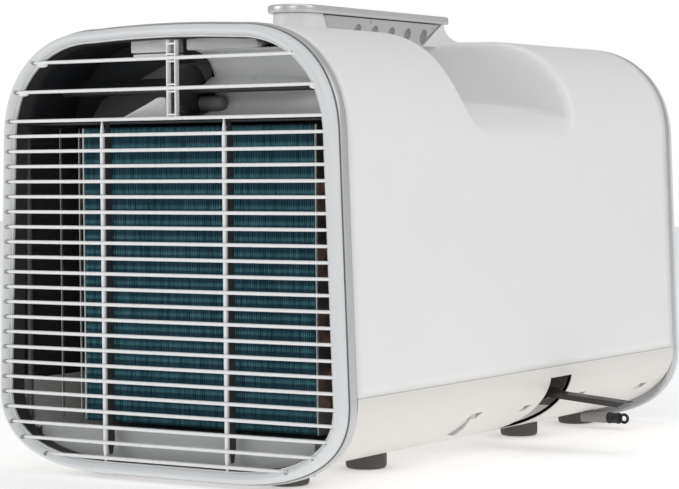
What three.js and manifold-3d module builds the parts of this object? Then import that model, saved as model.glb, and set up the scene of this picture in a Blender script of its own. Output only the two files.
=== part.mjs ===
// Portable air conditioner: a carry-handled housing with a grilled cold-air end, an evaporator,
// a compressor, a condenser with its fan, and battery latches under the base.
// Millimetres. +Z up, the grille faces -Y, and +X is on the right seen from the grille.
// The origin is on the floor under the middle of the unit.
import * as THREE from 'three';
import { mergeVertices } from 'three/addons/utils/BufferGeometryUtils.js';
import Module from 'manifold-3d';

const wasm = await Module();
wasm.setup();

// ---- driving dimensions -------------------------------------------------------------------
const WIDTH = 318;             // across the widest part of the casing
const HEIGHT = 340;            // floor to the top of the casing
const LENGTH = 555;            // between the outer edges of the two bezels
const UNDERSIDE = 2.5;         // floor to the bottom of the casing
const SIDE_DRAFT = 6.5;        // how much each side leans in between its corners
const TOP_CORNER = 87;         // radius of the two upper corners
const LOW_CORNER_WIDTH = 104;  // the two lower corners are wider than they are high
const LOW_CORNER_HEIGHT = 63;
const SEAM_HEIGHT = 69.3;      // floor to the parting line of housing and base
const WALL = 3;                // casing wall
const GAP = 0.3;               // clearance between pieces that touch
const FACE_CROWN = 7;          // how far each bezel stands proud
const TRIM_DEPTH = 14;         // length of each trim ring
const TRIM_WALL = 3;
const BEZEL_INSET = 12;        // casing outline to the grille opening
const BEZEL_BEVEL = 3.8;
const GRILLE_WALL = 1.8;       // sleeve that carries the bars
const BAR_HEIGHT = 2.8;
const BAR_DEPTH = 4;
const OUTLET_PITCH = 22;       // bar spacing over the cold-air outlet
const INTAKE_PITCH = 11.5;     // bar spacing over the evaporator
const OUTLET_FLOOR = 269.6;    // bar that divides outlet and intake
const POST_SPACING = 112;      // between the two upright grille bars
const NOTCH_FRONT = -100;      // hand opening under the handle
const NOTCH_REAR = 84;
const NOTCH_EDGE = 262;        // height of its lower edge on the side
const NOTCH_SADDLE = 286;      // height of its floor in the middle
const HANDLE_TOP = 362;
const HANDLE_WIDTH = 42;
const HANDLE_FRONT = -124.5;
const HANDLE_REAR = 106;
const LID_THICKNESS = 7;
const GRIP_UNDERSIDE = 322;
const COIL_LEFT = -95.5;       // evaporator fin pack
const COIL_RIGHT = 116;
const COIL_LOW = 40;
const COIL_HIGH = 264;
const COIL_DEPTH = 44;
const COIL_PASSES = 6;
const COIL_SETBACK = 26;       // bezel edge to the face of the fins
const FOOT_RADIUS = 16;
const FOOT_SPREAD = 77.4;
const FOOT_SETBACK = 45.5;      // bezel edge to the middle of an end foot
const FOOT_INNER = 124;         // middle of the unit to an inner foot
const LATCH_PLACE = 47.9;      // along the unit
const LATCH_RECESS = 37;
const LATCH_WIDTH = 17;
const LATCH_REACH = 74;
const LATCH_THICKNESS = 4.5;
const FAN_RADIUS = 98;
const BLOWER_RADIUS = 72;

// ---- values that follow from them ---------------------------------------------------------
const FRONT = -LENGTH / 2;
const REAR = LENGTH / 2;
const SHELL_END = REAR - TRIM_DEPTH - GAP;
const COIL_FACE = FRONT + COIL_SETBACK;
const COIL_BACK = COIL_FACE + COIL_DEPTH;
const FOOT_ROWS = [FRONT + FOOT_SETBACK, -FOOT_INNER, FOOT_INNER, REAR - FOOT_SETBACK];
const OUTLINE_STEPS = 8;
const POWER = 2.2;             // the upper corners are a little squarer than a circle
const LOW_POWER = 2.4;         // the lower ones are squarer than an ellipse
const CROWN = 2;               // rise of the top between its corners

// ---- materials ----------------------------------------------------------------------------
const finish = (color, roughness, metalness = 0) =>
  new THREE.MeshStandardMaterial({ color, roughness, metalness });
const white = finish(0xeeeeec, 0.3);
const offWhite = finish(0xe4e0da, 0.38);
const bezelGrey = finish(0xd5d8da, 0.35);
const satin = finish(0xa9abad, 0.35, 0.6);
const lidSilver = finish(0xc4c6c8, 0.3, 0.5);
const gripGrey = finish(0x9a9b9c, 0.6);
const darkPlastic = finish(0x222326, 0.55);
const ductGrey = finish(0xb9bbbc, 0.5);
const finTeal = finish(0x3f7f8a, 0.45, 0.3);
const aluminium = finish(0xb8babc, 0.4, 0.8);
const copper = finish(0xb06a45, 0.35, 0.9);
const steelBlack = finish(0x1b1c1e, 0.4, 0.4);
const steel = finish(0x9a9c9e, 0.35, 0.9);
const rubber = finish(0x4c4c49, 0.9);
const leverBlack = finish(0x2c2b2a, 0.5);
const boardGreen = finish(0x1f5a38, 0.6);
const glassBlack = finish(0x0c0d10, 0.1);

// ---- solids -------------------------------------------------------------------------------
function solid(geometry) {
  const bare = geometry.clone();
  bare.deleteAttribute('normal');
  bare.deleteAttribute('uv');
  const merged = mergeVertices(bare, 1e-4);
  return new wasm.Manifold(new wasm.Mesh({
    numProp: 3,
    vertProperties: new Float32Array(merged.attributes.position.array),
    triVerts: new Uint32Array(merged.index.array),
  }));
}

function geometryOf(body) {
  const mesh = body.getMesh();
  const geometry = new THREE.BufferGeometry();
  geometry.setAttribute('position', new THREE.BufferAttribute(mesh.vertProperties, 3));
  geometry.setIndex(new THREE.BufferAttribute(mesh.triVerts, 1));
  geometry.computeVertexNormals();
  return geometry;
}

const joined = (first, ...others) => others.reduce((body, other) => body.add(other), first);
const without = (first, ...others) => others.reduce((body, other) => body.subtract(other), first);

function box(x0, x1, y0, y1, z0, z1) {
  const geometry = new THREE.BoxGeometry(x1 - x0, y1 - y0, z1 - z0);
  geometry.translate((x0 + x1) / 2, (y0 + y1) / 2, (z0 + z1) / 2);
  return solid(geometry);
}

// A cylinder along one axis, between two places on it.
function rod(axis, centre, radius, from, to, sides = 24) {
  const geometry = new THREE.CylinderGeometry(radius, radius, to - from, sides);
  const middle = (from + to) / 2;
  if (axis === 'x') geometry.rotateZ(-Math.PI / 2).translate(middle, centre[0], centre[1]);
  if (axis === 'y') geometry.translate(centre[0], middle, centre[1]);
  if (axis === 'z') geometry.rotateX(Math.PI / 2).translate(centre[0], centre[1], middle);
  return solid(geometry);
}

// An outline in X and Z carried along Y.
function alongY(points, y0, y1, hole = null, bevel = null) {
  const shape = new THREE.Shape(points);
  if (hole) shape.holes.push(new THREE.Path(hole));
  const options = { depth: y1 - y0, bevelEnabled: false };
  if (bevel) {
    Object.assign(options, {
      depth: y1 - y0 - 2 * bevel.thickness, bevelEnabled: true, bevelThickness: bevel.thickness,
      bevelSize: bevel.size, bevelOffset: -bevel.size, bevelSegments: 2,
    });
  }
  const geometry = new THREE.ExtrudeGeometry(shape, options);
  if (bevel) geometry.translate(0, 0, bevel.thickness);
  geometry.rotateX(Math.PI / 2);
  geometry.translate(0, y1, 0);
  return solid(geometry);
}

// An outline in Y and Z carried along X.
function alongX(points, x0, x1) {
  const geometry = new THREE.ExtrudeGeometry(new THREE.Shape(points), {
    depth: x1 - x0, bevelEnabled: false,
  });
  geometry.rotateX(Math.PI / 2);
  geometry.rotateZ(Math.PI / 2);
  geometry.translate(x0, 0, 0);
  return solid(geometry);
}

// An outline in X and Y carried up Z.
function alongZ(shape, z0, z1) {
  const geometry = new THREE.ExtrudeGeometry(shape, {
    depth: z1 - z0, bevelEnabled: false, curveSegments: 12,
  });
  geometry.translate(0, 0, z0);
  return solid(geometry);
}

// A round tube along a smooth path through some points.
function tube(points, radius, steps, sides = 8) {
  const circle = new THREE.Shape();
  circle.absarc(0, 0, radius, 0, Math.PI * 2);
  const segments = sides / 2; // three.js divides an arc into twice this number
  const path = new THREE.CatmullRomCurve3(points.map((p) => new THREE.Vector3(...p)));
  return solid(new THREE.ExtrudeGeometry(circle, {
    steps, extrudePath: path, curveSegments: segments, bevelEnabled: false,
  }));
}

// A turned piece about a line along one axis; the profile is [radius, place] pairs.
function turned(axis, centre, profile, sides = 24) {
  const geometry = new THREE.LatheGeometry(profile.map((p) => new THREE.Vector2(...p)), sides);
  if (axis === 'x') geometry.rotateZ(-Math.PI / 2).translate(0, centre[0], centre[1]);
  if (axis === 'y') geometry.translate(centre[0], 0, centre[1]);
  if (axis === 'z') geometry.rotateX(Math.PI / 2).translate(centre[0], centre[1], 0);
  return solid(geometry);
}

const v2 = (x, y) => new THREE.Vector2(x, y);

// ---- casing outline -----------------------------------------------------------------------
// Half the width of the casing at a height between the two corners.
const lowCorner = UNDERSIDE + LOW_CORNER_HEIGHT;
const highCorner = HEIGHT - TOP_CORNER;
const halfWidthAt = (z) => WIDTH / 2 - SIDE_DRAFT * (z - lowCorner) / (highCorner - lowCorner);

// The closed outline of the casing, moved inwards by an inset.
function outline(inset = 0) {
  const right = [];
  const lowRadius = LOW_CORNER_WIDTH - inset;
  const topRadius = TOP_CORNER - inset;
  for (let i = 0; i <= OUTLINE_STEPS; i += 1) {
    const turn = (i / OUTLINE_STEPS) * Math.PI / 2;
    const x = halfWidthAt(lowCorner) - LOW_CORNER_WIDTH + lowRadius * Math.sin(turn) ** (2 / LOW_POWER);
    const z = lowCorner - (LOW_CORNER_HEIGHT - inset) * Math.cos(turn) ** (2 / LOW_POWER);
    right.push(v2(x, z));
  }
  for (let i = 0; i <= OUTLINE_STEPS; i += 1) {
    const turn = (i / OUTLINE_STEPS) * Math.PI / 2;
    const x = halfWidthAt(highCorner) - TOP_CORNER + topRadius * Math.cos(turn) ** (2 / POWER);
    const z = highCorner + (topRadius - CROWN) * Math.sin(turn) ** (2 / POWER);
    right.push(v2(x, z));
  }
  right.push(v2(0, HEIGHT - inset));
  const left = right.slice(0, -1).reverse().map((p) => v2(-p.x, p.y));
  return [...right, ...left];
}

// ---- hand opening through the top ---------------------------------------------------------
// Its side outline has a wide curve at the lower front corner and a tight one at the rear.
function notchSide(grow) {
  const front = NOTCH_FRONT - grow;
  const rear = NOTCH_REAR + grow;
  const low = NOTCH_EDGE - grow;
  const side = new THREE.Shape();
  side.moveTo(front, HEIGHT + 40);
  side.lineTo(front, low + 48 + grow);
  side.quadraticCurveTo(front + 4, low + 8, front + 36 + grow, low);
  side.lineTo(rear - 18 - grow, low);
  side.quadraticCurveTo(rear, low, rear, low + 18 + grow);
  side.lineTo(rear, HEIGHT + 40);
  return side.getPoints(5);
}

// The floor of the opening rises from its outer edges to a saddle in the middle.
function saddle(drop) {
  const points = [];
  const reach = WIDTH / 2 + 10;
  const steps = 16;
  for (let i = 0; i <= steps; i += 1) {
    const x = reach - (2 * reach * i) / steps;
    const fall = (NOTCH_SADDLE - NOTCH_EDGE) * Math.min(1, Math.abs(x) / (WIDTH / 2 - SIDE_DRAFT)) ** 4;
    points.push(v2(x, NOTCH_SADDLE - fall - drop));
  }
  return [v2(-reach, NOTCH_EDGE - 60), v2(reach, NOTCH_EDGE - 60), ...points];
}

function notch(grow) {
  const reach = WIDTH / 2 + 20;
  const opening = alongX(notchSide(grow), -reach, reach);
  return opening.subtract(alongY(saddle(grow), NOTCH_FRONT - 50, NOTCH_REAR + 50));
}

// ---- latch recess in each lower corner ----------------------------------------------------
const LATCH_TOP = 60.3;
const PIVOT = v2(WIDTH / 2 - 13, 46);
const RECESS_TOE = 84;

function latchRecess(side, grow) {
  const inner = [
    v2(side * (WIDTH / 2 + 20), LATCH_TOP + grow),
    v2(side * (PIVOT.x - 8 - grow), LATCH_TOP + grow),
    v2(side * (PIVOT.x - 12 - grow), PIVOT.y - 2 + grow / 2),
    v2(side * (RECESS_TOE - 8 - grow), 20 + grow),
    v2(side * (RECESS_TOE - 10 - grow), -10),
    v2(side * (WIDTH / 2 + 20), -10),
  ];
  const half = LATCH_RECESS / 2 + grow;
  return alongY(side > 0 ? inner.reverse() : inner, LATCH_PLACE - half, LATCH_PLACE + half);
}

// ---- casing -------------------------------------------------------------------------------
const HANDLE_SEAT = HANDLE_TOP - LID_THICKNESS - GAP;
const POST_HALF = HANDLE_WIDTH / 2 - 2;
const GRIP_FRONT = HANDLE_FRONT + 36.2;
const GRIP_REAR = HANDLE_REAR - 11;

function handlePosts() {
  const rearFoot = [v2(NOTCH_REAR - 1, 300), v2(GRIP_REAR - 29, 338), v2(GRIP_REAR + 1, HANDLE_SEAT),
    v2(GRIP_REAR + 6, HANDLE_SEAT), v2(GRIP_REAR + 12, 347), v2(GRIP_REAR + 24, 341.5),
    v2(GRIP_REAR + 43, HEIGHT - 1), v2(GRIP_REAR + 43, 336.5), v2(NOTCH_REAR - 1, 336.5)];
  const frontFoot = [v2(HANDLE_FRONT + 4, 336.5), v2(NOTCH_FRONT + 1, 336.5), v2(NOTCH_FRONT + 1, 310),
    v2(GRIP_FRONT + 5, 338), v2(GRIP_FRONT - 1, HANDLE_SEAT), v2(HANDLE_FRONT + 4, HANDLE_SEAT)];
  return [alongX(rearFoot.reverse(), -POST_HALF, POST_HALF), alongX(frontFoot, -POST_HALF, POST_HALF)];
}

// The power socket, shut by its dust cover, sits in a hole in the far side of the housing.
const INLET = { y: 180, z: 96, width: 34, height: 20, depth: 26, rim: 3.5, relief: 1.2 };
const inletFace = -halfWidthAt(INLET.z) + 1.5;
function inletBlock(x0, x1, shrink) {
  return box(x0, x1, INLET.y - INLET.width / 2 + shrink, INLET.y + INLET.width / 2 - shrink,
    INLET.z - INLET.height / 2 + shrink, INLET.z + INLET.height / 2 - shrink);
}

function powerInlet() {
  return inletBlock(inletFace, inletFace + INLET.depth, GAP)
    .subtract(inletBlock(inletFace - 5, inletFace + INLET.relief, INLET.rim));
}

function housingUpper() {
  const outer = alongY(outline(), -SHELL_END, SHELL_END);
  const below = box(-WIDTH, WIDTH, -LENGTH, LENGTH, -50, SEAM_HEIGHT + GAP / 2);
  const hollow = alongY(outline(WALL), -LENGTH, LENGTH).subtract(notch(WALL));
  const socket = inletBlock(-WIDTH, -WIDTH / 2 + 30, 0);
  return joined(without(outer, below, notch(0), hollow, socket), ...handlePosts());
}

const SLOTS = [[-160, 24, 37, 1], [-95, 22, 23, 1], [91, 18, 41, 0.4], [186, 22, 36, 1]];

function baseTray() {
  const outer = alongY(outline(), -SHELL_END, SHELL_END);
  const above = box(-WIDTH, WIDTH, -LENGTH, LENGTH, SEAM_HEIGHT - GAP / 2, HEIGHT * 2);
  const tub = alongY(outline(WALL), -SHELL_END + WALL, SHELL_END - WALL);
  const ends = alongY(outline(WALL), -LENGTH, LENGTH)
    .subtract(box(-WIDTH, WIDTH, -LENGTH * 2, LENGTH * 2, -50, UNDERSIDE + 14));
  let hollow = tub.add(ends);
  let body = outer.subtract(above);
  for (const side of [-1, 1]) {
    hollow = hollow.subtract(latchRecess(side, WALL));
    body = body.subtract(latchRecess(side, 0));
    for (const y of FOOT_ROWS) {
      const centre = [side * FOOT_SPREAD, y];
      hollow = hollow.subtract(rod('z', centre, FOOT_RADIUS + GAP + WALL, -5, FOOT_SOCKET + WALL, 20));
      body = body.subtract(rod('z', centre, FOOT_RADIUS + GAP, -5, FOOT_SOCKET + GAP, 20));
    }
    for (const [y, width, z] of SLOTS) {
      const wall = outerReach(z);
      body = body.subtract(box(...ordered(side * (wall - 1.6), side * (wall + 8)),
        y - width / 2, y + width / 2, z - 3, z + 3));
    }
  }
  return body.subtract(hollow).subtract(rod('x', [DRAIN.y, DRAIN.z], DRAIN.radius + GAP, 80, WIDTH, 16));
}

const FOOT_SOCKET = 14;
const ordered = (a, b) => (a < b ? [a, b] : [b, a]);

// Distance from the middle to the casing's side at a height inside the lower corner.
function outerReach(z) {
  const down = Math.max(0, lowCorner - z) / LOW_CORNER_HEIGHT;
  const out = (1 - down ** LOW_POWER) ** (1 / LOW_POWER);
  return WIDTH / 2 - LOW_CORNER_WIDTH + LOW_CORNER_WIDTH * out;
}

function trimRing(y0, y1) {
  return alongY(outline(), y0, y1, outline(TRIM_WALL).reverse());
}

const BEZEL_BACK = 10;         // depth of the bezel behind its outer edge
function bezel(front) {
  const bevel = { thickness: FACE_CROWN, size: BEZEL_BEVEL };
  const ring = alongY(outline(TRIM_WALL + GAP), FRONT - FACE_CROWN, FRONT + BEZEL_BACK + FACE_CROWN,
    outline(BEZEL_INSET).reverse(), bevel);
  const square = box(-WIDTH, WIDTH, FRONT + BEZEL_BACK, 0, -50, HEIGHT * 2);
  const face = ring.subtract(square);
  return front ? face : face.rotate([0, 0, 180]);
}

// ---- grilles ------------------------------------------------------------------------------
const GRILLE_INSET = BEZEL_INSET + GAP;
const GRILLE_FACE = FRONT - FACE_CROWN + 2;

function barHeights() {
  const heights = [OUTLET_FLOOR + 2 * OUTLET_PITCH, OUTLET_FLOOR + OUTLET_PITCH, OUTLET_FLOOR];
  for (let z = OUTLET_FLOOR - INTAKE_PITCH; z > UNDERSIDE + BEZEL_INSET; z -= INTAKE_PITCH) {
    heights.push(z);
  }
  return heights;
}

function sleeve() {
  return alongY(outline(GRILLE_INSET), GRILLE_FACE, FRONT + BEZEL_BACK,
    outline(GRILLE_INSET + GRILLE_WALL).reverse());
}

function bars(heights, posts) {
  const pane = alongY(outline(GRILLE_INSET + 0.5), GRILLE_FACE, FRONT + 5);
  const bodies = heights.map((z) =>
    box(-WIDTH, WIDTH, GRILLE_FACE, GRILLE_FACE + BAR_DEPTH, z - BAR_HEIGHT / 2, z + BAR_HEIGHT / 2));
  const back = GRILLE_FACE + BAR_DEPTH;
  for (const [x, low, high] of posts) {
    bodies.push(box(x - 1.4, x + 1.4, back - 1, back + 2, low, high));
  }
  return joined(...bodies).intersect(pane);
}

function frontGrille() {
  const half = POST_SPACING / 2;
  const posts = [[-half, 0, OUTLET_FLOOR], [half, 0, OUTLET_FLOOR],
    [TIE_PLACE - 5, OUTLET_FLOOR, HEIGHT], [TIE_PLACE + 5, OUTLET_FLOOR, HEIGHT]];
  return sleeve().add(bars(barHeights(), posts));
}

const TIE_PLACE = 8;
function rearGrille() {
  const heights = [];
  const low = UNDERSIDE + BEZEL_INSET + 8;
  for (let z = low; z < HEIGHT - BEZEL_INSET - 3; z += INTAKE_PITCH * 1.2) heights.push(z);
  const half = POST_SPACING / 2;
  const posts = [[-half, 0, HEIGHT], [half, 0, HEIGHT]];
  return sleeve().add(bars(heights, posts)).rotate([0, 0, 180]);
}

// ---- handle -------------------------------------------------------------------------------
const BUTTON_RADIUS = 4.5;
const BUTTON_PLACES = [-40, -27, -14, -1];
const WINDOW = { from: -84, to: -54, half: 11 };

function handleLid() {
  const half = HANDLE_WIDTH / 2;
  const shape = new THREE.Shape();
  shape.moveTo(half, HANDLE_FRONT + half);
  shape.lineTo(half, HANDLE_REAR);
  shape.lineTo(-half, HANDLE_REAR);
  shape.lineTo(-half, HANDLE_FRONT + half);
  shape.absarc(0, HANDLE_FRONT + half, half, Math.PI, 2 * Math.PI, false);
  for (const y of BUTTON_PLACES) {
    const hole = new THREE.Path();
    hole.absarc(0, y, BUTTON_RADIUS + GAP, 0, 2 * Math.PI, true);
    shape.holes.push(hole);
  }
  const plate = alongZ(shape, HANDLE_TOP - LID_THICKNESS, HANDLE_TOP - 0.4);
  const pocket = box(-WINDOW.half - GAP, WINDOW.half + GAP, WINDOW.from - GAP, WINDOW.to + GAP,
    HANDLE_TOP - 2, HANDLE_TOP + 5);
  return plate.subtract(pocket);
}

// The grip is a trough whose ends slope in line with the posts.
function handleGrip() {
  const floor = GRIP_UNDERSIDE;
  const outer = [v2(GRIP_FRONT, HANDLE_SEAT - GAP), v2(GRIP_FRONT + 6, 338), v2(GRIP_FRONT + 8, 330),
    v2(GRIP_FRONT + 16, floor), v2(GRIP_REAR - 44, floor), v2(GRIP_REAR - 36, 328),
    v2(GRIP_REAR - 30.5, 338), v2(GRIP_REAR - 0.5, HANDLE_SEAT - GAP)];
  let body = alongX(outer, -POST_HALF, POST_HALF);
  const inside = [v2(GRIP_FRONT + 12, HEIGHT * 2), v2(GRIP_FRONT + 20, floor + 4),
    v2(GRIP_REAR - 48, floor + 4), v2(GRIP_REAR - 40, HEIGHT * 2)];
  body = body.subtract(alongX(inside, -POST_HALF + 4, POST_HALF - 4));
  for (const side of [-1, 1]) {
    for (let i = 0; i < 5; i += 1) {
      const y = GRIP_FRONT + 34 + i * 24.7;
      body = body.subtract(rod('x', [y, floor + 3], 8, ...ordered(side * (POST_HALF - 1.6),
        side * (POST_HALF + 5)), 16));
    }
  }
  return body;
}

function controlBoard() {
  return box(-12, 12, GRIP_FRONT + 22, 12, 346, 347.6);
}

function displayWindow() {
  return box(-WINDOW.half, WINDOW.half, WINDOW.from, WINDOW.to, HANDLE_TOP - 1.7, HANDLE_TOP - 0.5);
}

const BUTTON_TRAVEL = 1.2;
const button = (y) => turned('z', [0, y], [[0, 349.2], [BUTTON_RADIUS, 349.2],
  [BUTTON_RADIUS, HANDLE_TOP - 0.5], [BUTTON_RADIUS - 0.5, HANDLE_TOP], [0, HANDLE_TOP]], 20);

// ---- feet and latches ---------------------------------------------------------------------
const foot = (x, y) => turned('z', [x, y], [[0, 0], [FOOT_RADIUS - 1.5, 0], [FOOT_RADIUS, 1.5],
  [FOOT_RADIUS, FOOT_SOCKET], [0, FOOT_SOCKET]], 20);

const LATCH_TILT = -5;         // degrees below level when open
const PIN_RADIUS = 2;

function latchLever(side) {
  const eye = PIN_RADIUS + 2.6;
  const half = LATCH_WIDTH / 2;
  const knuckle = rod('y', [0, 0], eye, -half, half, 16);
  const blade = alongY([v2(0, -2.2), v2(LATCH_REACH - 6, -2.2), v2(LATCH_REACH, LATCH_THICKNESS - 2.2),
    v2(0, LATCH_THICKNESS - 2.2)], -half, half);
  const bore = rod('y', [0, 0], PIN_RADIUS + 0.25, -half - 1, half + 1, 16);
  const lever = knuckle.add(blade).subtract(bore).rotate([0, -LATCH_TILT, 0]);
  const placed = lever.translate([PIVOT.x, LATCH_PLACE, PIVOT.y]);
  return side > 0 ? placed : placed.mirror([1, 0, 0]);
}

const latchPin = (side) => rod('y', [side * PIVOT.x, PIVOT.y], PIN_RADIUS,
  LATCH_PLACE - LATCH_RECESS / 2 + GAP, LATCH_PLACE + LATCH_RECESS / 2 - GAP, 16);

// ---- drain --------------------------------------------------------------------------------
const DRAIN = { y: 205, z: 9.2, from: 98, to: 128, radius: 4.8 };
function drainSpout() {
  const outer = turned('x', [DRAIN.y, DRAIN.z], [[0, DRAIN.from], [DRAIN.radius, DRAIN.from],
    [DRAIN.radius, DRAIN.to - 5], [3.4, DRAIN.to - 5], [3.4, DRAIN.to], [0, DRAIN.to]], 16);
  return outer.subtract(rod('x', [DRAIN.y, DRAIN.z], 2, DRAIN.from + 3, DRAIN.to + 5, 12));
}

function drainCap() {
  const barrel = turned('x', [DRAIN.y, DRAIN.z], [[0, DRAIN.to - 4.6], [5, DRAIN.to - 4.6],
    [5, DRAIN.to + 7], [0, DRAIN.to + 7]], 16);
  const socket = rod('x', [DRAIN.y, DRAIN.z], 3.7, DRAIN.to - 20, DRAIN.to + 0.4, 16);
  const loop = new THREE.TorusGeometry(3.6, 1.3, 8, 16).rotateX(Math.PI / 2);
  loop.translate(DRAIN.to + 10.6, DRAIN.y, DRAIN.z);
  return barrel.subtract(socket).add(solid(loop));
}

// ---- cold side ----------------------------------------------------------------------------
const TUBE_RADIUS = 3.5;
const TUBE_CLEARANCE = 2.4;
function coilPath(left, right, y, z0, z1, passes) {
  const points = [];
  const bend = 9;
  for (let i = 0; i < passes; i += 1) {
    const z = z0 + ((z1 - z0) * i) / (passes - 1);
    const ends = i % 2 ? [right, left] : [left, right];
    const inward = i % 2 ? -1 : 1;
    points.push([ends[0] - inward * 2, y, z], [ends[0] + inward * 40, y, z]);
    points.push([ends[1] - inward * 40, y, z], [ends[1] + inward * 2, y, z]);
    if (i < passes - 1) points.push([ends[1] + inward * bend, y, z + (z1 - z0) / (passes - 1) / 2]);
  }
  return points;
}

function finPack(x0, x1, y0, y1, z0, z1, passes) {
  let body = box(x0, x1, y0, y1, z0, z1);
  for (let i = 0; i < passes; i += 1) {
    const z = z0 + 20 + ((z1 - z0 - 40) * i) / (passes - 1);
    body = body.subtract(rod('x', [(y0 + y1) / 2, z], TUBE_RADIUS + TUBE_CLEARANCE, x0 - 5, x1 + 5, 10));
  }
  return body;
}

function coilTube(x0, x1, y0, y1, z0, z1, passes) {
  const y = (y0 + y1) / 2;
  return tube(coilPath(x0 - 12, x1 + 12, y, z0 + 20, z1 - 20, passes), TUBE_RADIUS, passes * 12, 8);
}

const PLATE = 1.5;
const endPlate = (x, y0, y1, z0, z1, passes) => finPack(x, x + PLATE, y0, y1, z0, z1, passes);

function dripTray() {
  const back = COIL_BACK + 20;
  const front = FRONT + BEZEL_BACK + 2;
  const outer = alongX([v2(front, 24), v2(back, 24), v2(back, 46), v2(COIL_BACK + 5, 46),
    v2(COIL_BACK + 5, 36), v2(front, 33)], COIL_LEFT - 5, COIL_RIGHT + 5);
  const well = box(COIL_LEFT - 2, COIL_RIGHT + 2, COIL_BACK + 8, back - 3, 28, 60);
  return outer.subtract(well);
}

// The duct carries air from the blower forward over the coil to the outlet bars.
function outletDuct() {
  const low = COIL_HIGH + 3;
  const back = COIL_BACK + 6;
  const front = FRONT + BEZEL_BACK + 4;
  const outside = outline(WALL + 3);
  const inside = outline(WALL + 5.5);
  const shell = alongY(outside, front, back, inside.reverse());
  const keep = box(-WIDTH, WIDTH, -LENGTH, 0, low, HEIGHT * 2);
  const floor = alongY(outside, front, back).intersect(box(-WIDTH, WIDTH, -LENGTH, 0, low, low + 2.5));
  return shell.intersect(keep).add(floor);
}

const FLAP = { y: FRONT + 30, z: 291 };
const WHEEL_RADIUS = 19.5;
function outletFlap() {
  const shaft = rod('x', [FLAP.y, FLAP.z], 3, -118, 118, 12);
  const blade = alongX([v2(FLAP.y - 1, FLAP.z), v2(FLAP.y + 1, FLAP.z), v2(FLAP.y + 26, FLAP.z + 13),
    v2(FLAP.y + 24, FLAP.z + 14.5)], -112, -9);
  const twin = blade.mirror([1, 0, 0]);
  return joined(shaft, blade, twin).subtract(rod('x', [FLAP.y, FLAP.z], 12, -5.5, 5.5, 16)
    .subtract(rod('x', [FLAP.y, FLAP.z], 2.6, -6, 6, 12)));
}

function flapWheel() {
  const teeth = 18;
  const points = [];
  for (let i = 0; i < teeth * 2; i += 1) {
    const radius = WHEEL_RADIUS + (i % 2 ? 0 : -1.2);
    const turn = (i / (teeth * 2)) * 2 * Math.PI;
    points.push(v2(FLAP.y + radius * Math.cos(turn), FLAP.z + radius * Math.sin(turn)));
  }
  return alongX(points, -5, 5).subtract(rod('x', [FLAP.y, FLAP.z], 2.9, -10, 10, 16));
}

const BLOWER = { y0: COIL_BACK + 16, y1: COIL_BACK + 74, x: -8, z: 152 };
function blowerScroll() {
  const { y0, y1, x, z } = BLOWER;
  const wall = 2.5;
  const reach = BLOWER_RADIUS + 18;
  const drum = rod('y', [x, z], reach, y0, y1, 40);
  const cavity = rod('y', [x, z], reach - wall, y0 + wall, y1 - wall, 40);
  const throat = box(x - reach + 1, x - 4, y0, y1, z, DUCT_MOUTH);
  const passage = box(x - reach + 1 + wall, x - 4 - wall, y0 + wall, y1 - wall, z, DUCT_MOUTH + 5);
  const inlet = rod('y', [x, z], BLOWER_RADIUS - 14, y0 - 5, y0 + 10, 32);
  const shaftHole = rod('y', [x, z], 6, y1 - 10, y1 + 5, 16);
  return drum.add(throat).subtract(cavity).subtract(passage).subtract(inlet).subtract(shaftHole);
}

const DUCT_MOUTH = COIL_HIGH;
function blowerWheel() {
  const { y0, y1, x, z } = BLOWER;
  const back = rod('y', [x, z], BLOWER_RADIUS, y1 - 9, y1 - 6, 32);
  const hub = rod('y', [x, z], 12, y1 - 30, y1 - 6, 16);
  const ring = rod('y', [x, z], BLOWER_RADIUS, y0 + 6, y0 + 9, 32)
    .subtract(rod('y', [x, z], BLOWER_RADIUS - 8, y0, y0 + 20, 32));
  const blades = [];
  const count = 20;
  for (let i = 0; i < count; i += 1) {
    const vane = box(BLOWER_RADIUS - 8, BLOWER_RADIUS - 0.6, y0 + 8, y1 - 8, -0.8, 0.8);
    blades.push(vane.rotate([0, (360 * i) / count, 0]).translate([x, 0, z]));
  }
  const bore = rod('y', [x, z], SHAFT_RADIUS + 0.3, y0, y1, 12);
  return joined(back, hub, ring, ...blades).subtract(bore);
}

const SHAFT_RADIUS = 3;
function blowerMotor() {
  const { y1, x, z } = BLOWER;
  const can = rod('y', [x, z], 30, y1 + 5, y1 + 45, 28);
  return can.add(rod('y', [x, z], SHAFT_RADIUS, y1 - 28, y1 + 6, 12));
}

const BULKHEAD = BLOWER.y1 + 50;
function bulkhead() {
  const plate = alongY(outline(WALL + 1.5), BULKHEAD, BULKHEAD + 3);
  const top = box(-WIDTH, WIDTH, -LENGTH, LENGTH, NOTCH_EDGE - 10, HEIGHT * 2);
  const bottom = box(-WIDTH, WIDTH, -LENGTH, LENGTH, -20, UNDERSIDE + WALL + 18);
  const pipes = [[-60, 60], [-60, 80]].map((p) => rod('y', p, 8, -LENGTH, LENGTH, 16));
  return without(plate, top, bottom, ...pipes);
}

// ---- hot side -----------------------------------------------------------------------------
const COMPRESSOR_ROOM = 69.5;   // bulkhead to the compressor's middle
const COMPRESSOR = { x: 30, y: BULKHEAD + COMPRESSOR_ROOM, radius: 46, low: 34, high: 196 };
const COMPRESSOR_FEET = [0, 120, 240];
function compressor() {
  const { x, y, radius, low, high } = COMPRESSOR;
  const can = turned('z', [x, y], [[0, low], [radius - 10, low], [radius, low + 12], [radius, high - 16],
    [radius - 14, high - 3], [0, high]], 32);
  const feet = COMPRESSOR_FEET.map((turn) =>
    box(radius - 8, radius + 16, -9, 9, low + 1, low + 4).rotate([0, 0, turn]).translate([x, y, 0]));
  return joined(can, ...feet);
}

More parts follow.
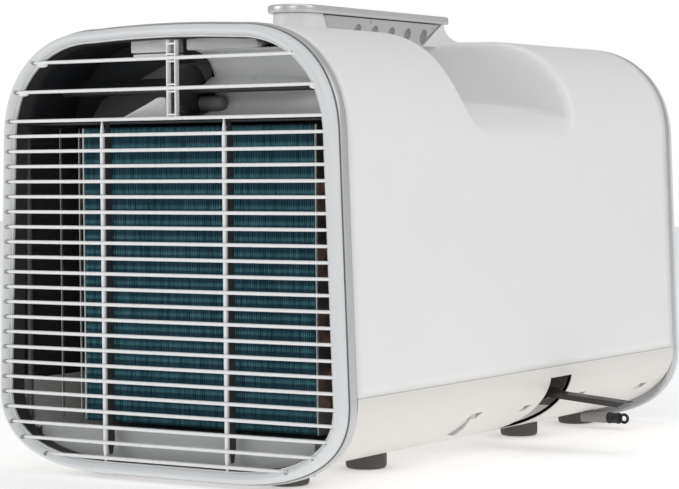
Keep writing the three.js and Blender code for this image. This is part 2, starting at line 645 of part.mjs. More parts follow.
const MOUNT_CIRCLE = COMPRESSOR.radius + 8;
function grommet(turn) {
  const angle = THREE.MathUtils.degToRad(turn);
  const centre = [COMPRESSOR.x + MOUNT_CIRCLE * Math.cos(angle), COMPRESSOR.y + MOUNT_CIRCLE * Math.sin(angle)];
  const low = UNDERSIDE + WALL + CHASSIS + GAP * 2;
  return rod('z', centre, 8, low, COMPRESSOR.low + 1 - GAP, 16);
}

const CHASSIS = 12;
function chassisPlate() {
  const low = UNDERSIDE + WALL + 9;
  const half = FOOT_SPREAD + FOOT_RADIUS + 2;
  return box(-half, half, BULKHEAD + 8, SHELL_END - 6, low, low + CHASSIS - 9)
    .subtract(joined(...FOOT_ROWS.flatMap((y) => [-1, 1].map((side) =>
      rod('z', [side * FOOT_SPREAD, y], FOOT_RADIUS + WALL + 2, -5, 40, 16)))))
    .subtract(latchRecess(1, WALL + 1)).subtract(latchRecess(-1, WALL + 1));
}

const CONDENSER = { x0: -112, x1: 112, z0: 40, z1: 250, depth: 36, passes: 6 };
const CONDENSER_BACK = REAR - COIL_SETBACK - 6;
const CONDENSER_FACE = CONDENSER_BACK - CONDENSER.depth;

const FAN = { z: 146, y: CONDENSER_FACE - 34 };
function fanShroud() {
  const { z, y } = FAN;
  const plate = box(-114, 114, CONDENSER_FACE - 6, CONDENSER_FACE - 3, CONDENSER.z0, CONDENSER.z1 + 4);
  const collar = rod('y', [0, z], FAN_RADIUS + 6, y - 34, CONDENSER_FACE - 4, 40);
  const bore = rod('y', [0, z], FAN_RADIUS + 3, y - 50, CONDENSER_FACE + 5, 40);
  const arms = [45, 135, 225, 315].map((turn) =>
    box(30, FAN_RADIUS + 5, y - 34, y - 28, -5, 5).rotate([0, turn, 0]).translate([0, 0, z]));
  const clamp = rod('y', [0, z], 37, y - 34, y - 24, 28);
  const seat = rod('y', [0, z], 32 + GAP, y - 60, y, 28);
  return joined(plate.add(collar).subtract(bore), ...arms, clamp).subtract(seat);
}

function condenserFan() {
  const { z, y } = FAN;
  const hub = rod('y', [0, z], 24, y - 2, y + 18, 24);
  const blades = [0, 1, 2, 3, 4].map((i) => {
    const blade = box(20, FAN_RADIUS - 1, -1.2, 1.2, -26, 26).rotate([32, 0, 0]);
    return blade.rotate([0, i * 72, 0]).translate([0, y + 8, z]);
  });
  const swept = rod('y', [0, z], FAN_RADIUS, y - 14, y + 26, 40);
  return joined(hub, ...blades).intersect(swept).subtract(rod('y', [0, z], SHAFT_RADIUS + 0.3, y - 20, y + 12, 12));
}

function fanMotor() {
  const { z, y } = FAN;
  const can = rod('y', [0, z], 32, y - 66, y - 22, 28);
  const shaft = rod('y', [0, z], SHAFT_RADIUS, y - 24, y + 10, 12);
  return joined(can, shaft);
}

const controlBox = () => box(-128, -46, 20, 120, 74, 160)
  .subtract(box(-125, -49, 23, 117, 77, 170));

// ---- refrigerant pipes --------------------------------------------------------------------
function suctionPipe() {
  const { x, y, high } = COMPRESSOR;
  return tube([[-60, BULKHEAD - 24, 60], [-60, BULKHEAD + 30, 60], [-64, y - 10, 110],
    [-50, y - 8, 190], [-20, y - 4, high + 30], [x - 8, y, high + 22],
    [x - 8, y, high + GAP]], 4.5, 30);
}

function dischargePipe() {
  const { x, y, high } = COMPRESSOR;
  return tube([[x + 12, y, high + GAP], [x + 14, y + 4, high + 30], [118, y + 50, 238],
    [128, y + 110, 232], [129, CONDENSER_FACE - 20, 226], [129, CONDENSER_FACE + 10, 222]], 3.5, 30);
}

function filterDrier() {
  return turned('y', [-138, 100], [[0, 98], [4, 98], [9, 106], [9, 146], [4, 154], [0, 154]], 16);
}

function capillary() {
  return tube([[-60, BULKHEAD - 24, 80], [-60, BULKHEAD + 34, 80], [-90, BULKHEAD + 43.5, 60], [-134, 0, 70],
    [-138, 50, 90], [-138, 97, 100]], 2, 26, 6);
}

// ---- screws -------------------------------------------------------------------------------
const SCREW_INSET = 26;
const SCREW_PLACES = [[SCREW_INSET - WIDTH / 2, 36], [WIDTH / 2 - SCREW_INSET, 36]];
const screw = (x, z) => turned('y', [x, z], [[0, FRONT + BEZEL_BACK + 1], [3.6, FRONT + BEZEL_BACK + 1],
  [3.6, FRONT + BEZEL_BACK + 3], [1.6, FRONT + BEZEL_BACK + 3.4], [1.6, FRONT + BEZEL_BACK + 14],
  [0, FRONT + BEZEL_BACK + 15]], 12);

// ---- assembly -----------------------------------------------------------------------------
const unit = new THREE.Group();
function piece(name, body, material) {
  const mesh = new THREE.Mesh(geometryOf(body), material);
  mesh.name = name;
  unit.add(mesh);
}

const coilBox = [COIL_LEFT, COIL_RIGHT, COIL_FACE, COIL_BACK, COIL_LOW, COIL_HIGH, COIL_PASSES];
const hotBox = [CONDENSER.x0, CONDENSER.x1, CONDENSER_FACE, CONDENSER_BACK, CONDENSER.z0, CONDENSER.z1,
  CONDENSER.passes];

piece('housing_upper', housingUpper(), white);
piece('base_tray', baseTray(), offWhite);
piece('front_trim_ring', trimRing(FRONT, FRONT + TRIM_DEPTH), satin);
piece('rear_trim_ring', trimRing(REAR - TRIM_DEPTH, REAR), satin);
piece('front_bezel', bezel(true), bezelGrey);
piece('rear_bezel', bezel(false), bezelGrey);
piece('front_grille', frontGrille(), bezelGrey);
piece('rear_grille', rearGrille(), bezelGrey);
piece('handle_lid', handleLid(), lidSilver);
piece('handle_grip', handleGrip(), gripGrey);
piece('control_board', controlBoard(), boardGreen);
piece('display_window', displayWindow(), glassBlack);
BUTTON_PLACES.forEach((y, i) => piece(`button_${i + 1}`, button(y), bezelGrey));
for (const side of [-1, 1]) {
  const hand = side > 0 ? 'right' : 'left';
  FOOT_ROWS.forEach((y, i) => piece(`foot_${hand}_${i + 1}`, foot(side * FOOT_SPREAD, y), rubber));
  piece(`latch_lever_${hand}`, latchLever(side), leverBlack);
  piece(`latch_pin_${hand}`, latchPin(side), steel);
}
piece('drain_spout', drainSpout(), bezelGrey);
piece('drain_cap', drainCap(), leverBlack);
piece('evaporator_fins', finPack(...coilBox), finTeal);
piece('evaporator_tube', coilTube(...coilBox), copper);
piece('evaporator_plate_left', endPlate(COIL_LEFT - PLATE - GAP, ...coilBox.slice(2)), aluminium);
piece('evaporator_plate_right', endPlate(COIL_RIGHT + GAP, ...coilBox.slice(2)), aluminium);
piece('drip_tray', dripTray(), ductGrey);
piece('outlet_duct', outletDuct(), ductGrey);
piece('outlet_flap', outletFlap(), ductGrey);
piece('flap_wheel', flapWheel(), darkPlastic);
piece('blower_scroll', blowerScroll(), darkPlastic);
piece('blower_wheel', blowerWheel(), darkPlastic);
piece('blower_motor', blowerMotor(), steel);
piece('bulkhead', bulkhead(), darkPlastic);
piece('chassis_plate', chassisPlate(), steel);
piece('compressor', compressor(), steelBlack);
COMPRESSOR_FEET.forEach((turn, i) => piece(`compressor_grommet_${i + 1}`, grommet(turn), rubber));
piece('condenser_fins', finPack(...hotBox), aluminium);
piece('condenser_tube', coilTube(...hotBox), copper);
piece('fan_shroud', fanShroud(), darkPlastic);
piece('condenser_fan', condenserFan(), darkPlastic);
piece('fan_motor', fanMotor(), steel);
piece('control_box', controlBox(), darkPlastic);
piece('suction_pipe', suctionPipe(), copper);
piece('discharge_pipe', dischargePipe(), copper);
piece('filter_drier', filterDrier(), copper);
piece('capillary_tube', capillary(), copper);
piece('power_inlet', powerInlet(), darkPlastic);
SCREW_PLACES.forEach(([x, z], i) => piece(`bezel_screw_${i + 1}`, screw(x, z), steel));

export default unit;
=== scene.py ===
"""A carry-handled portable air conditioner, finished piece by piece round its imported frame.

The pieces follow the order in which the unit is put together. Lengths in the piece functions are in
millimetres and in the frame's own axes: grille towards -Y, +Z up, origin on the floor.
"""

import math

import bmesh
import bpy
import numpy as np
from mathutils import Matrix, Vector


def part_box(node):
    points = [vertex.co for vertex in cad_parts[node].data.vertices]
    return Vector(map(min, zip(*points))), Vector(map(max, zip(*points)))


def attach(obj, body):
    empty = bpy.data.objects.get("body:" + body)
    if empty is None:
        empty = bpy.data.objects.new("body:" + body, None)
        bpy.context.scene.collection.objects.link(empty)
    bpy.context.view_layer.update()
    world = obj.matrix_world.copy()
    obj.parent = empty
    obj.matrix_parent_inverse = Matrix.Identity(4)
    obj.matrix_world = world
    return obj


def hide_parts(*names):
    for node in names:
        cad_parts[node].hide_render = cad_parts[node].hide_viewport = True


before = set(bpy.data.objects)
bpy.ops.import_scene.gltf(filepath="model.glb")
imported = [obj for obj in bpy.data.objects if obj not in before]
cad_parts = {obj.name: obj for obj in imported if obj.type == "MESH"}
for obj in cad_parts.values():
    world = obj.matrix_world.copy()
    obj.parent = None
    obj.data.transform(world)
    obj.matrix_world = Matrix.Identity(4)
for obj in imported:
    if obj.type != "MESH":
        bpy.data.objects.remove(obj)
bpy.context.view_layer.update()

# ---- housing ----------------------------------------------------------------------------------
# The upper shell is one white ABS moulding, 3 mm thick, with soft corners and a hand opening
# across its top. It drops over the base tray and is held by the trim rings at its two ends.
MM = 0.001


def span(node):
    """Lowest and highest corner of a CAD node, in millimetres."""
    low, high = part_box(node)
    return np.array(low) / MM, np.array(high) / MM


class Value:
    """A number that varies over a surface; arithmetic on it adds Math nodes."""

    def __init__(self, finish, socket):
        self.finish, self.socket = finish, socket

    def combined(self, operation, first, second):
        node = self.finish.node("ShaderNodeMath", {"operation": operation}, {0: first, 1: second})
        return Value(self.finish, node.outputs[0])

    def __add__(self, other):
        return self.combined("ADD", self, other)

    def __sub__(self, other):
        return self.combined("SUBTRACT", self, other)

    def __mul__(self, other):
        return self.combined("MULTIPLY", self, other)

    def clipped(self, low, high):
        """The value run from 0 at low to 1 at high, with soft ends."""
        node = self.finish.node("ShaderNodeMapRange", {"interpolation_type": "SMOOTHSTEP"},
                                {0: self, 1: low, 2: high, 3: 0.0, 4: 1.0})
        return Value(self.finish, node.outputs[0])

    __rmul__ = __mul__


class Finish:
    """One finish of the unit: a principled shader with worked-out colour, roughness and relief."""

    def __init__(self, name, **constants):
        self.material = bpy.data.materials.new(name)
        self.material.use_nodes = True
        self.tree = self.material.node_tree
        self.shader = self.tree.nodes["Principled BSDF"]
        for socket, value in constants.items():
            self.shader.inputs[socket.replace("_", " ")].default_value = value
        self.place = self.node("ShaderNodeTexCoord").outputs["Object"]

    def node(self, kind, settings=None, sockets=None):
        """Adds a node, sets it, then fills its sockets with numbers, values or links."""
        made = self.tree.nodes.new(kind)
        for name, setting in (settings or {}).items():
            setattr(made, name, setting)
        for name, given in (sockets or {}).items():
            given = given.socket if isinstance(given, Value) else given
            if isinstance(given, bpy.types.NodeSocket):
                self.tree.links.new(given, made.inputs[name])
            else:
                made.inputs[name].default_value = given
        return made

    def noise(self, scale, detail=2.0, stretch=(1, 1, 1)):
        """Cloudy variation from 0 to 1; scale is in features a metre, stretch is per axis."""
        place = self.node("ShaderNodeMapping", None, {"Vector": self.place, "Scale": stretch}).outputs[0]
        made = self.node("ShaderNodeTexNoise", None, {"Vector": place, "Scale": scale, "Detail": detail})
        return Value(self, made.outputs[0])

    def along(self, axis):
        """The place along one axis, in metres."""
        return Value(self, self.node("ShaderNodeSeparateXYZ", None, {0: self.place}).outputs["XYZ".index(axis)])

    def mixed(self, share, first, second):
        """A colour that goes from first to second as share goes from 0 to 1."""
        first, second = [(*c, 1.0) if isinstance(c, tuple) and len(c) == 3 else c for c in (first, second)]
        made = self.node("ShaderNodeMix", {"data_type": "RGBA"}, {0: share, 6: first, 7: second})
        return made.outputs[2]

    def wear(self, colour, roughness, relief, depth):
        """Feeds the shader and gives back the material. Relief is a height from 0 to 1, depth in metres."""
        bump = self.node("ShaderNodeBump", None, {"Height": relief, "Distance": depth, "Strength": 1.0})
        for name, given in (("Normal", bump.outputs[0]), ("Base Color", colour), ("Roughness", roughness.socket)):
            self.tree.links.new(given, self.shader.inputs[name])
        return self.material


def moulding(name, colour, roughness=0.32, tint=0.05, grain=0.00003, grain_size=1800, coat=0.0):
    """Moulded plastic: faint flow clouding in the colour, handling haze in the gloss, fine mould grain."""
    finish = Finish(name, IOR=1.5, Coat_Weight=coat)
    cloud = finish.noise(9, 4)
    haze = finish.noise(55, 5)
    fine = finish.noise(grain_size, 2)
    darker = tuple(c * (1 - tint) for c in colour)
    shade = finish.mixed(cloud.clipped(0.35, 0.65) * 0.7 + fine * 0.3, darker, colour)
    return finish.wear(shade, haze.clipped(0.3, 0.75) * 0.14 + (roughness - 0.05) + fine * 0.04, fine, grain)


white_shell = moulding("white_shell", (0.87, 0.87, 0.865), roughness=0.34, tint=0.015, grain=0.000008,
                       grain_size=700)

ring_low, ring_high = span("front_trim_ring")
shell_low, shell_high = span("housing_upper")
HALF_WIDTH = float(ring_high[0])
TOP = float(ring_high[2])
UNDER = float(ring_low[2])
FRONT = float(ring_low[1])
SHELL_END = float(shell_high[1])
SEAM = float(shell_low[2])
TOP_CORNER, CROWN, SQUARENESS = 87.0, 2.0, 2.2
LOW_CORNER = (104.0, 63.0)
LOW_SQUARENESS = 2.4
DRAFT = 6.5
LOW_START = UNDER + LOW_CORNER[1]
TOP_START = TOP - TOP_CORNER
LEAN = DRAFT / (TOP_START - LOW_START)
SHELL_WALL = 3.0


def half_width(z):
    """Half the casing's width: it leans in evenly between the corners, and the lean fades out beyond."""
    above = np.maximum(z - TOP_START, 0)
    between = np.minimum(z, TOP_START) - LOW_START
    return HALF_WIDTH - LEAN * (between + above * np.exp(-above / 12))


def top_height(x, inset):
    """Height of the casing's top between its corners: a parabola that falls by CROWN to the corner's end."""
    corner_end = half_width(TOP) - TOP_CORNER
    share = np.clip(np.abs(x) / corner_end, 0, 1)
    return TOP - inset - CROWN * share ** 2


def right_side(inset, low, corner_lines=40, side_lines=20, top_lines=12):
    """The casing's section from a height up to the middle of the top, as x and z.
    Straight leaning side, then a superellipse corner, then the crowned top."""
    turn = np.linspace(0, np.pi / 2, corner_lines)
    rise = np.sin(turn) ** (2 / SQUARENESS)
    reach = np.cos(turn) ** (2 / SQUARENESS)
    corner_z = TOP_START + (TOP_CORNER - inset - CROWN) * rise
    corner_x = half_width(corner_z) - TOP_CORNER + (TOP_CORNER - inset) * reach
    side_z = np.linspace(low, TOP_START, side_lines, endpoint=False)
    side_x = half_width(side_z) - inset
    top_x = np.linspace(corner_x[-1], 0, top_lines + 1)[1:]
    x = np.concatenate([side_x, corner_x, top_x])
    z = np.concatenate([side_z, corner_z, top_height(top_x, inset)])
    return x, z


def low_side(inset, high, lift=0.0, squareness=LOW_SQUARENESS, corner_lines=28, flat_lines=8, side_lines=4):
    """The casing's section from the middle of the underside up to a height, as x and z. The corner is a
    superellipse; lift raises the underside."""
    width, height = LOW_CORNER
    turn = np.linspace(0, np.pi / 2, corner_lines)
    corner_x = HALF_WIDTH - width + (width - inset) * np.sin(turn) ** (2 / squareness)
    corner_z = LOW_START - (height - lift - inset) * np.cos(turn) ** (2 / squareness)
    flat_x = np.linspace(0, corner_x[0], flat_lines, endpoint=False)
    side_z = np.linspace(LOW_START, high, side_lines + 1)[1:]
    x = np.concatenate([flat_x, corner_x, half_width(side_z) - inset])
    z = np.concatenate([np.full(flat_lines, UNDER + lift + inset), corner_z, side_z])
    return x, z


def outline(inset):
    """The whole closed section of the casing, moved in by an inset, anticlockwise seen from the grille."""
    low_x, low_z = low_side(inset, LOW_START + 1)
    high_x, high_z = right_side(inset, LOW_START + 4)
    x = np.concatenate([low_x, high_x])
    z = np.concatenate([low_z, high_z])
    return np.concatenate([x, -x[-2:0:-1]]), np.concatenate([z, z[-2:0:-1]])


def side_reach(z, inset, lift=0.0, squareness=LOW_SQUARENESS):
    """Distance from the middle to the casing's side at a height, moved in by an inset."""
    width, height = LOW_CORNER
    up = np.clip((z - TOP_START) / (TOP_CORNER - CROWN - inset), 0, 1)
    down = np.clip((LOW_START - z) / (height - lift - inset), 0, 1)
    high = half_width(z) - TOP_CORNER + (TOP_CORNER - inset) * (1 - up ** SQUARENESS) ** (1 / SQUARENESS)
    low = HALF_WIDTH - width + (width - inset) * (1 - down ** squareness) ** (1 / squareness)
    return np.where(z < LOW_START, low, high)


def grid_faces(rows, columns, wrap_rows, wrap_columns, first):
    """Quads between the neighbours of a grid of points; a wrapped direction joins last to first."""
    index = np.arange(rows * columns).reshape(rows, columns) + first
    if wrap_rows:
        index = np.vstack([index, index[:1]])
    if wrap_columns:
        index = np.hstack([index, index[:, :1]])
    return np.stack([index[:-1, :-1], index[1:, :-1], index[1:, 1:], index[:-1, 1:]], -1).reshape(-1, 4)


def lay(name, patches, material, body="casing", stands_for=(), centre=None, sharp=40):
    """Makes one piece from grids of points in millimetres, each given as (points, wrap_rows, wrap_columns).
    Closed pieces have their normals turned out; an open sheet faces away from centre."""
    corners, faces, count = [], [], 0
    for points, wrap_rows, wrap_columns in patches:
        rows, columns = points.shape[:2]
        corners.append(points.reshape(-1, 3))
        faces.append(grid_faces(rows, columns, wrap_rows, wrap_columns, count))
        count += rows * columns
    mesh = bpy.data.meshes.new(name)
    mesh.from_pydata((np.concatenate(corners) * MM).tolist(), [], np.concatenate(faces).tolist())
    shape = bmesh.new()
    shape.from_mesh(mesh)
    bmesh.ops.remove_doubles(shape, verts=shape.verts, dist=2e-6)
    bmesh.ops.dissolve_degenerate(shape, edges=shape.edges, dist=1e-6)
    if centre is None:
        bmesh.ops.recalc_face_normals(shape, faces=shape.faces)
    else:
        middle = np.array(centre) * MM
        facing = sum((np.array(f.calc_center_median()) - middle) @ np.array(f.normal) * f.calc_area()
                     for f in shape.faces)
        if facing < 0:
            bmesh.ops.reverse_faces(shape, faces=shape.faces)
    shape.to_mesh(mesh)
    shape.free()
    mesh.shade_smooth()
    mesh.set_sharp_from_angle(angle=math.radians(sharp))
    made = bpy.data.objects.new(name, mesh)
    bpy.context.scene.collection.objects.link(made)
    mesh.materials.append(material)
    if body:
        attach(made, body)
    if stands_for:
        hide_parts(*stands_for)
    return made


def capped(points):
    """A tube of sections (rows) closed at both ends by a fan to the middle of each end section."""
    first = np.broadcast_to(points[:1].mean(1, keepdims=True), points[:1].shape)
    last = np.broadcast_to(points[-1:].mean(1, keepdims=True), points[-1:].shape)
    return np.concatenate([first, points, last])


def walled(piece, thickness, lining=None):
    """Gives an open sheet a wall that grows inwards, with its own finish inside if one is named."""
    solid = piece.modifiers.new("wall", "SOLIDIFY")
    solid.thickness, solid.offset = thickness * MM, -1
    if lining:
        piece.data.materials.append(lining)
        solid.material_offset = 1


def cut(piece, cutter, sharp=None):
    """Takes a closed cutter out of a piece, and marks the edges above an angle as sharp if one is given.
    The cutter is only a tool and isn't kept in the model."""
    made = piece.modifiers.new("cut", "BOOLEAN")
    made.operation, made.object, made.solver = "DIFFERENCE", cutter, "EXACT"
    bpy.context.view_layer.update()
    evaluated = piece.evaluated_get(bpy.context.evaluated_depsgraph_get())
    mesh = bpy.data.meshes.new_from_object(evaluated)
    piece.modifiers.clear()
    piece.data = mesh
    bpy.data.objects.remove(cutter)
    if sharp:
        mesh.set_sharp_from_angle(angle=math.radians(sharp))


def ease(piece, width, segments):
    """Rounds the edges of a piece where its faces meet at more than fifty degrees."""
    bevel = piece.modifiers.new("edge", "BEVEL")
    bevel.width, bevel.segments = width * MM, segments
    bevel.limit_method, bevel.angle_limit = "ANGLE", math.radians(50)


def prism(points, axis, start, end):
    """A closed bar: an outline of two numbers carried straight along an axis."""
    own = "XYZ".index(axis)
    rows = np.empty((2, len(points), 3))
    rows[:, :, [i for i in range(3) if i != own]] = points
    rows[:, :, own] = [[start], [end]]
    return capped(rows), False, True


# The hand opening: a wide curve at the front end of its side outline, a tight one at the rear.
NOTCH_FRONT, NOTCH_REAR = -100.0, 84.0
NOTCH_EDGE, NOTCH_SADDLE = 262.0, 286.0
FRONT_CURVE = (48.0, 56.0, NOTCH_EDGE + 50)
REAR_CURVE = (24.0, 24.0, NOTCH_EDGE + 18)
SADDLE_REACH, SADDLE_BLEND = 152.5, 9
EDGE_FRONT, EDGE_MORE = 3.5, 6        # softness of the opening's rim at its front end, and what is added behind


def soft_max(first, second, blend):
    """The larger of two heights, rounded over where they are within a blend distance of each other."""
    near = np.clip(1 - np.abs(first - second) / blend, 0, 1)
    return np.maximum(first, second) + near * near * blend / 4


def saddle(x):
    """Floor of the hand opening: highest in the middle, falling to the sides with the fourth power."""
    return NOTCH_SADDLE - (NOTCH_SADDLE - NOTCH_EDGE) * np.clip(np.abs(x) / SADDLE_REACH, 0, 1) ** 4


def wall_place(z, curve, end, sign):
    """Where an end wall of the hand opening stands at a height: an ellipse below, straight above."""
    width, height, start = curve
    down = np.clip((start - z) / height, 0, 1)
    return end + sign * width * (1 - np.sqrt(1 - down ** 2))


def shell_height(points):
    """Distance outside the shell's surface: the casing less the hand opening, joined by a soft edge."""
    x, y, z = points[..., 0], points[..., 1], points[..., 2]
    side = np.abs(x)
    wide = half_width(z)
    middle = wide - TOP_CORNER
    crown = CROWN * (1 + np.cos(np.pi * np.clip(side / middle, 0, 1))) / 2
    across = np.maximum(side - middle, 0) / TOP_CORNER
    upward = np.maximum(z - TOP_START, 0) / (TOP_CORNER - CROWN + crown)
    casing = TOP_CORNER * ((across ** SQUARENESS + upward ** SQUARENESS) ** (1 / SQUARENESS) - 1)
    ends = []
    for (width, height, start), towards in ((FRONT_CURVE, NOTCH_FRONT - y), (REAR_CURVE, y - NOTCH_REAR)):
        out = np.maximum(towards + width, 0) / width
        down = np.maximum(start - z, 0) / height
        ends.append((np.sqrt(out ** 2 + down ** 2) - 1) * width)
    opening = soft_max(np.maximum(*ends), saddle(x) - z, SADDLE_BLEND)
    edge = EDGE_FRONT + EDGE_MORE * np.clip((y + 85) / 45, 0, 1)
    return soft_max(casing, -opening, edge)


def settled(points, height, rounds=7):
    """Moves points onto the surface where a height function is zero, along its gradient."""
    for _ in range(rounds):
        value = height(points)
        slope = np.stack([height(points + step) - value for step in np.eye(3) * 0.02], -1) / 0.02
        points = points - slope * (value / np.maximum((slope ** 2).sum(-1), 0.05))[..., None]
    return points


def housing_points():
    """Lines along the unit at each place of its section. A line above the opening's edge runs level,
    drops down the front wall, crosses the floor, climbs the rear wall and runs level again."""
    half_x, half_z = right_side(0, SEAM, corner_lines=64, side_lines=24, top_lines=14)
    x = np.concatenate([half_x, -half_x[-2::-1]])[:, None]
    high = np.concatenate([half_z, half_z[-2::-1]])[:, None]
    floor = np.minimum(saddle(x), high)
    drop = high - floor
    margin = 9.0
    length = drop + 2 * margin
    thirds = np.minimum(2 * margin, length / 3)
    share = np.linspace(0, 1, 16)[None]
    walk = np.concatenate([thirds * share, thirds + (length - 2 * thirds) * np.linspace(0, 1, 14)[None, 1:-1],
                           length - thirds * share[:, ::-1]], 1)
    down = high - np.clip(walk - margin, 0, drop)
    slip = np.minimum(walk - margin, 0) + np.maximum(walk - margin - drop, 0)
    front = wall_place(down, FRONT_CURVE, NOTCH_FRONT, 1) + slip
    rear = wall_place(down, REAR_CURVE, NOTCH_REAR, -1) - slip
    level = np.linspace(0, 1, 22)[None]
    ahead = -SHELL_END + (front[:, :1] + SHELL_END) * level[:, :-1]
    behind = rear[:, :1] + (SHELL_END - rear[:, :1]) * level[:, 1:]
    between = front[:, -1:] + (rear[:, -1:] - front[:, -1:]) * np.linspace(0, 1, 30)[None, 1:-1]
    y = np.concatenate([ahead, front, between, rear[:, ::-1], behind], 1)
    z = np.concatenate([high + 0 * ahead, down, floor + 0 * between, down[:, ::-1], high + 0 * behind], 1)
    points = np.stack([x + 0 * y, y, z], -1)
    moved = settled(points, shell_height)
    moved[:, [0, -1], 1] = [-SHELL_END, SHELL_END]
    moved[[0, -1], :, 2] = SEAM
    return moved


# The shell's inside face is near-black: painted shade standing in for the dark inside of the unit.
painted_shade_lining = moulding("painted_shade_lining", (0.03, 0.03, 0.033), roughness=0.9, tint=0.4, grain=0.0006, grain_size=420)
housing = lay("housing_shell", [(housing_points(), False, False)], white_shell,
              stands_for=["housing_upper"], centre=(0, 0, 120), sharp=60)
walled(housing, SHELL_WALL, painted_shade_lining)

# ---- handle posts -----------------------------------------------------------------------------
# Two stubs moulded on the shell carry the handle. The front one is round ended, like the lid over
# it; the rear one runs down to the shell's top in a long hollow curve.
lid_low, lid_high = span("handle_lid")
grip_low, grip_high = span("handle_grip")
LID_UNDER, LID_TOP = float(lid_low[2]), float(lid_high[2]) + 0.4
LID_HALF, LID_FRONT, LID_REAR = float(lid_high[0]), float(lid_low[1]), float(lid_high[1])
POST_HALF = float(grip_high[0])
GRIP_FRONT, GRIP_REAR = float(grip_low[1]), float(grip_high[1])
POST_TOP = LID_UNDER - 0.3
POST_INSET, POST_FLARE, POST_SLANT = 3.2, 0.32, 9


def curve(start, control, end, steps=10):
    """Points along a quadratic curve between two ends."""
    t = np.linspace(0, 1, steps)[:, None]
    return (1 - t) ** 2 * np.array(start) + 2 * t * (1 - t) * np.array(control) + t ** 2 * np.array(end)


def front_post():
    """A U-shaped plan, round in front and square behind, carried up: it flares out at its foot by a
    falling square and its rear face slants back with height."""
    half = LID_HALF - POST_INSET
    turn = np.linspace(np.pi, 2 * np.pi, 25)
    centre = LID_FRONT + LID_HALF + 1.5
    bow = np.stack([half * np.cos(turn), centre + half * np.sin(turn)], -1)
    rear = GRIP_FRONT - 0.4
    back = np.stack([np.linspace(half, -half, 9), np.full(9, rear)], -1)
    plan = np.concatenate([bow, np.linspace(bow[-1], back[0], 6)[1:-1], back, np.linspace(back[-1], bow[0], 6)[1:-1]])
    level = np.linspace(0, 1, 14)[:, None]
    z = TOP - 4 + (POST_TOP - TOP + 4) * level
    flare = 1 + POST_FLARE * (1 - np.clip(level * 1.5, 0, 1)) ** 2.5
    x = plan[:, 0] * flare
    y = centre + (plan[:, 1] - centre) * np.where(plan[:, 1] < centre, flare, 1)
    y = y + np.where(plan[:, 1] > rear - 1, (1 - level) * POST_SLANT, 0)
    return np.stack([x, y, z + 0 * x], -1)


post_front = lay("handle_post_front", [(capped(front_post()), False, True)], white_shell)


def rear_post():
    """A side outline between an upper line, slanted then curved, and a level lower line, carried across."""
    slope = np.linspace((GRIP_REAR - 28, TOP - 4), (GRIP_REAR + 0.6, POST_TOP - 1), 8)
    rear_face = curve((GRIP_REAR + 5, POST_TOP), (GRIP_REAR + 9, TOP + 1), (GRIP_REAR + 44, TOP - 0.6), 16)
    upper = np.concatenate([slope, [(GRIP_REAR + 1.6, POST_TOP)], rear_face])
    lower = np.stack([upper[:, 0], np.full(len(upper), TOP - 5)], -1)
    ring = np.concatenate([upper, lower[::-1]])
    half = np.array([-POST_HALF, POST_HALF])
    skin = np.stack(np.broadcast_arrays(half[:, None], ring[None, :, 0], ring[None, :, 1]), -1)
    ends = [np.stack([np.stack([np.full(len(upper), x), *line.T], -1) for line in (upper, lower)]) for x in half]
    return [(skin, False, True)] + [(end, False, False) for end in ends]


post_rear = lay("handle_post_rear", rear_post(), white_shell)
ease(post_rear, 1.8, 4)

# ---- base tray --------------------------------------------------------------------------------
# The lower shell, a warmer off-white moulding. Its lower corners are broad superellipses, with
# a deep pocket for each battery latch, shallow slots beside the feet, and a hole for the drain.
warm_shell = moulding("warm_shell", (0.80, 0.775, 0.74), roughness=0.38, tint=0.02, grain=0.00001,
                      grain_size=700)
# Near-black for the latch pockets: painted shade in the recesses.
painted_shade_pocket = moulding("painted_shade_pocket", (0.13, 0.125, 0.12), roughness=0.5, tint=0.15)
TRAY_TOP = float(span("base_tray")[1][2])
TRAY_CURVE = (5.5, 2.0)      # the tray is flatter than the rings: its lift, and a plain ellipse
pin_low, pin_high = span("latch_pin_right")
LATCH_Y = float(pin_low[1] + pin_high[1]) / 2
PIVOT = (float(pin_low[0] + pin_high[0]) / 2, float(pin_low[2] + pin_high[2]) / 2)
POCKET_HALF = float(pin_high[1] - pin_low[1]) / 2 + 0.3
POCKET_TOP = PIVOT[1] + 14.3
POCKET_LINE = np.array([(POCKET_TOP, 146), (POCKET_TOP, 141), (POCKET_TOP - 3, 138), (46, 135), (38, 126),
                        (31, 108), (24, 90), (17, 80), (9, 76), (0, 75.5), (-4, 75.5)], float)[:, ::-1]
POCKET_LINE[0, 0] = HALF_WIDTH + 14


def tray_points():
    """The lower section of the casing carried straight along the unit."""
    half_x, half_z = low_side(0, TRAY_TOP, *TRAY_CURVE)
    x = np.concatenate([-half_x[:0:-1], half_x])
    z = np.concatenate([half_z[:0:-1], half_z])
    y = np.linspace(-SHELL_END, SHELL_END, 60)
    return np.stack(np.broadcast_arrays(x[:, None], y[None], z[:, None]), -1)


def pocket_cutter(side):
    """The latch pocket as a closed bar along y, a little outside the casing on its open side."""
    points = np.concatenate([POCKET_LINE, [(HALF_WIDTH + 14, -4.0)]]) * (side, 1)
    return prism(points, "Y", LATCH_Y - POCKET_HALF, LATCH_Y + POCKET_HALF)


def turned(profile, axis, centre, sides=48):
    """A turned piece: a profile of (radius, place) points swung about a line along an axis."""
    profile = np.array(profile, float)
    turn = np.linspace(0, 2 * np.pi, sides, endpoint=False)
    points = np.empty((len(profile), sides, 3))
    own = "XYZ".index(axis)
    others = [i for i in range(3) if i != own]
    points[..., own] = profile[:, 1:]
    points[..., others[0]] = centre[0] + profile[:, :1] * np.cos(turn)
    points[..., others[1]] = centre[1] + profile[:, :1] * np.sin(turn)
    return points, False, True


def tool(name, patches):
    """A closed cutter with no finish of its own."""
    return lay(name, patches, None, body=None)


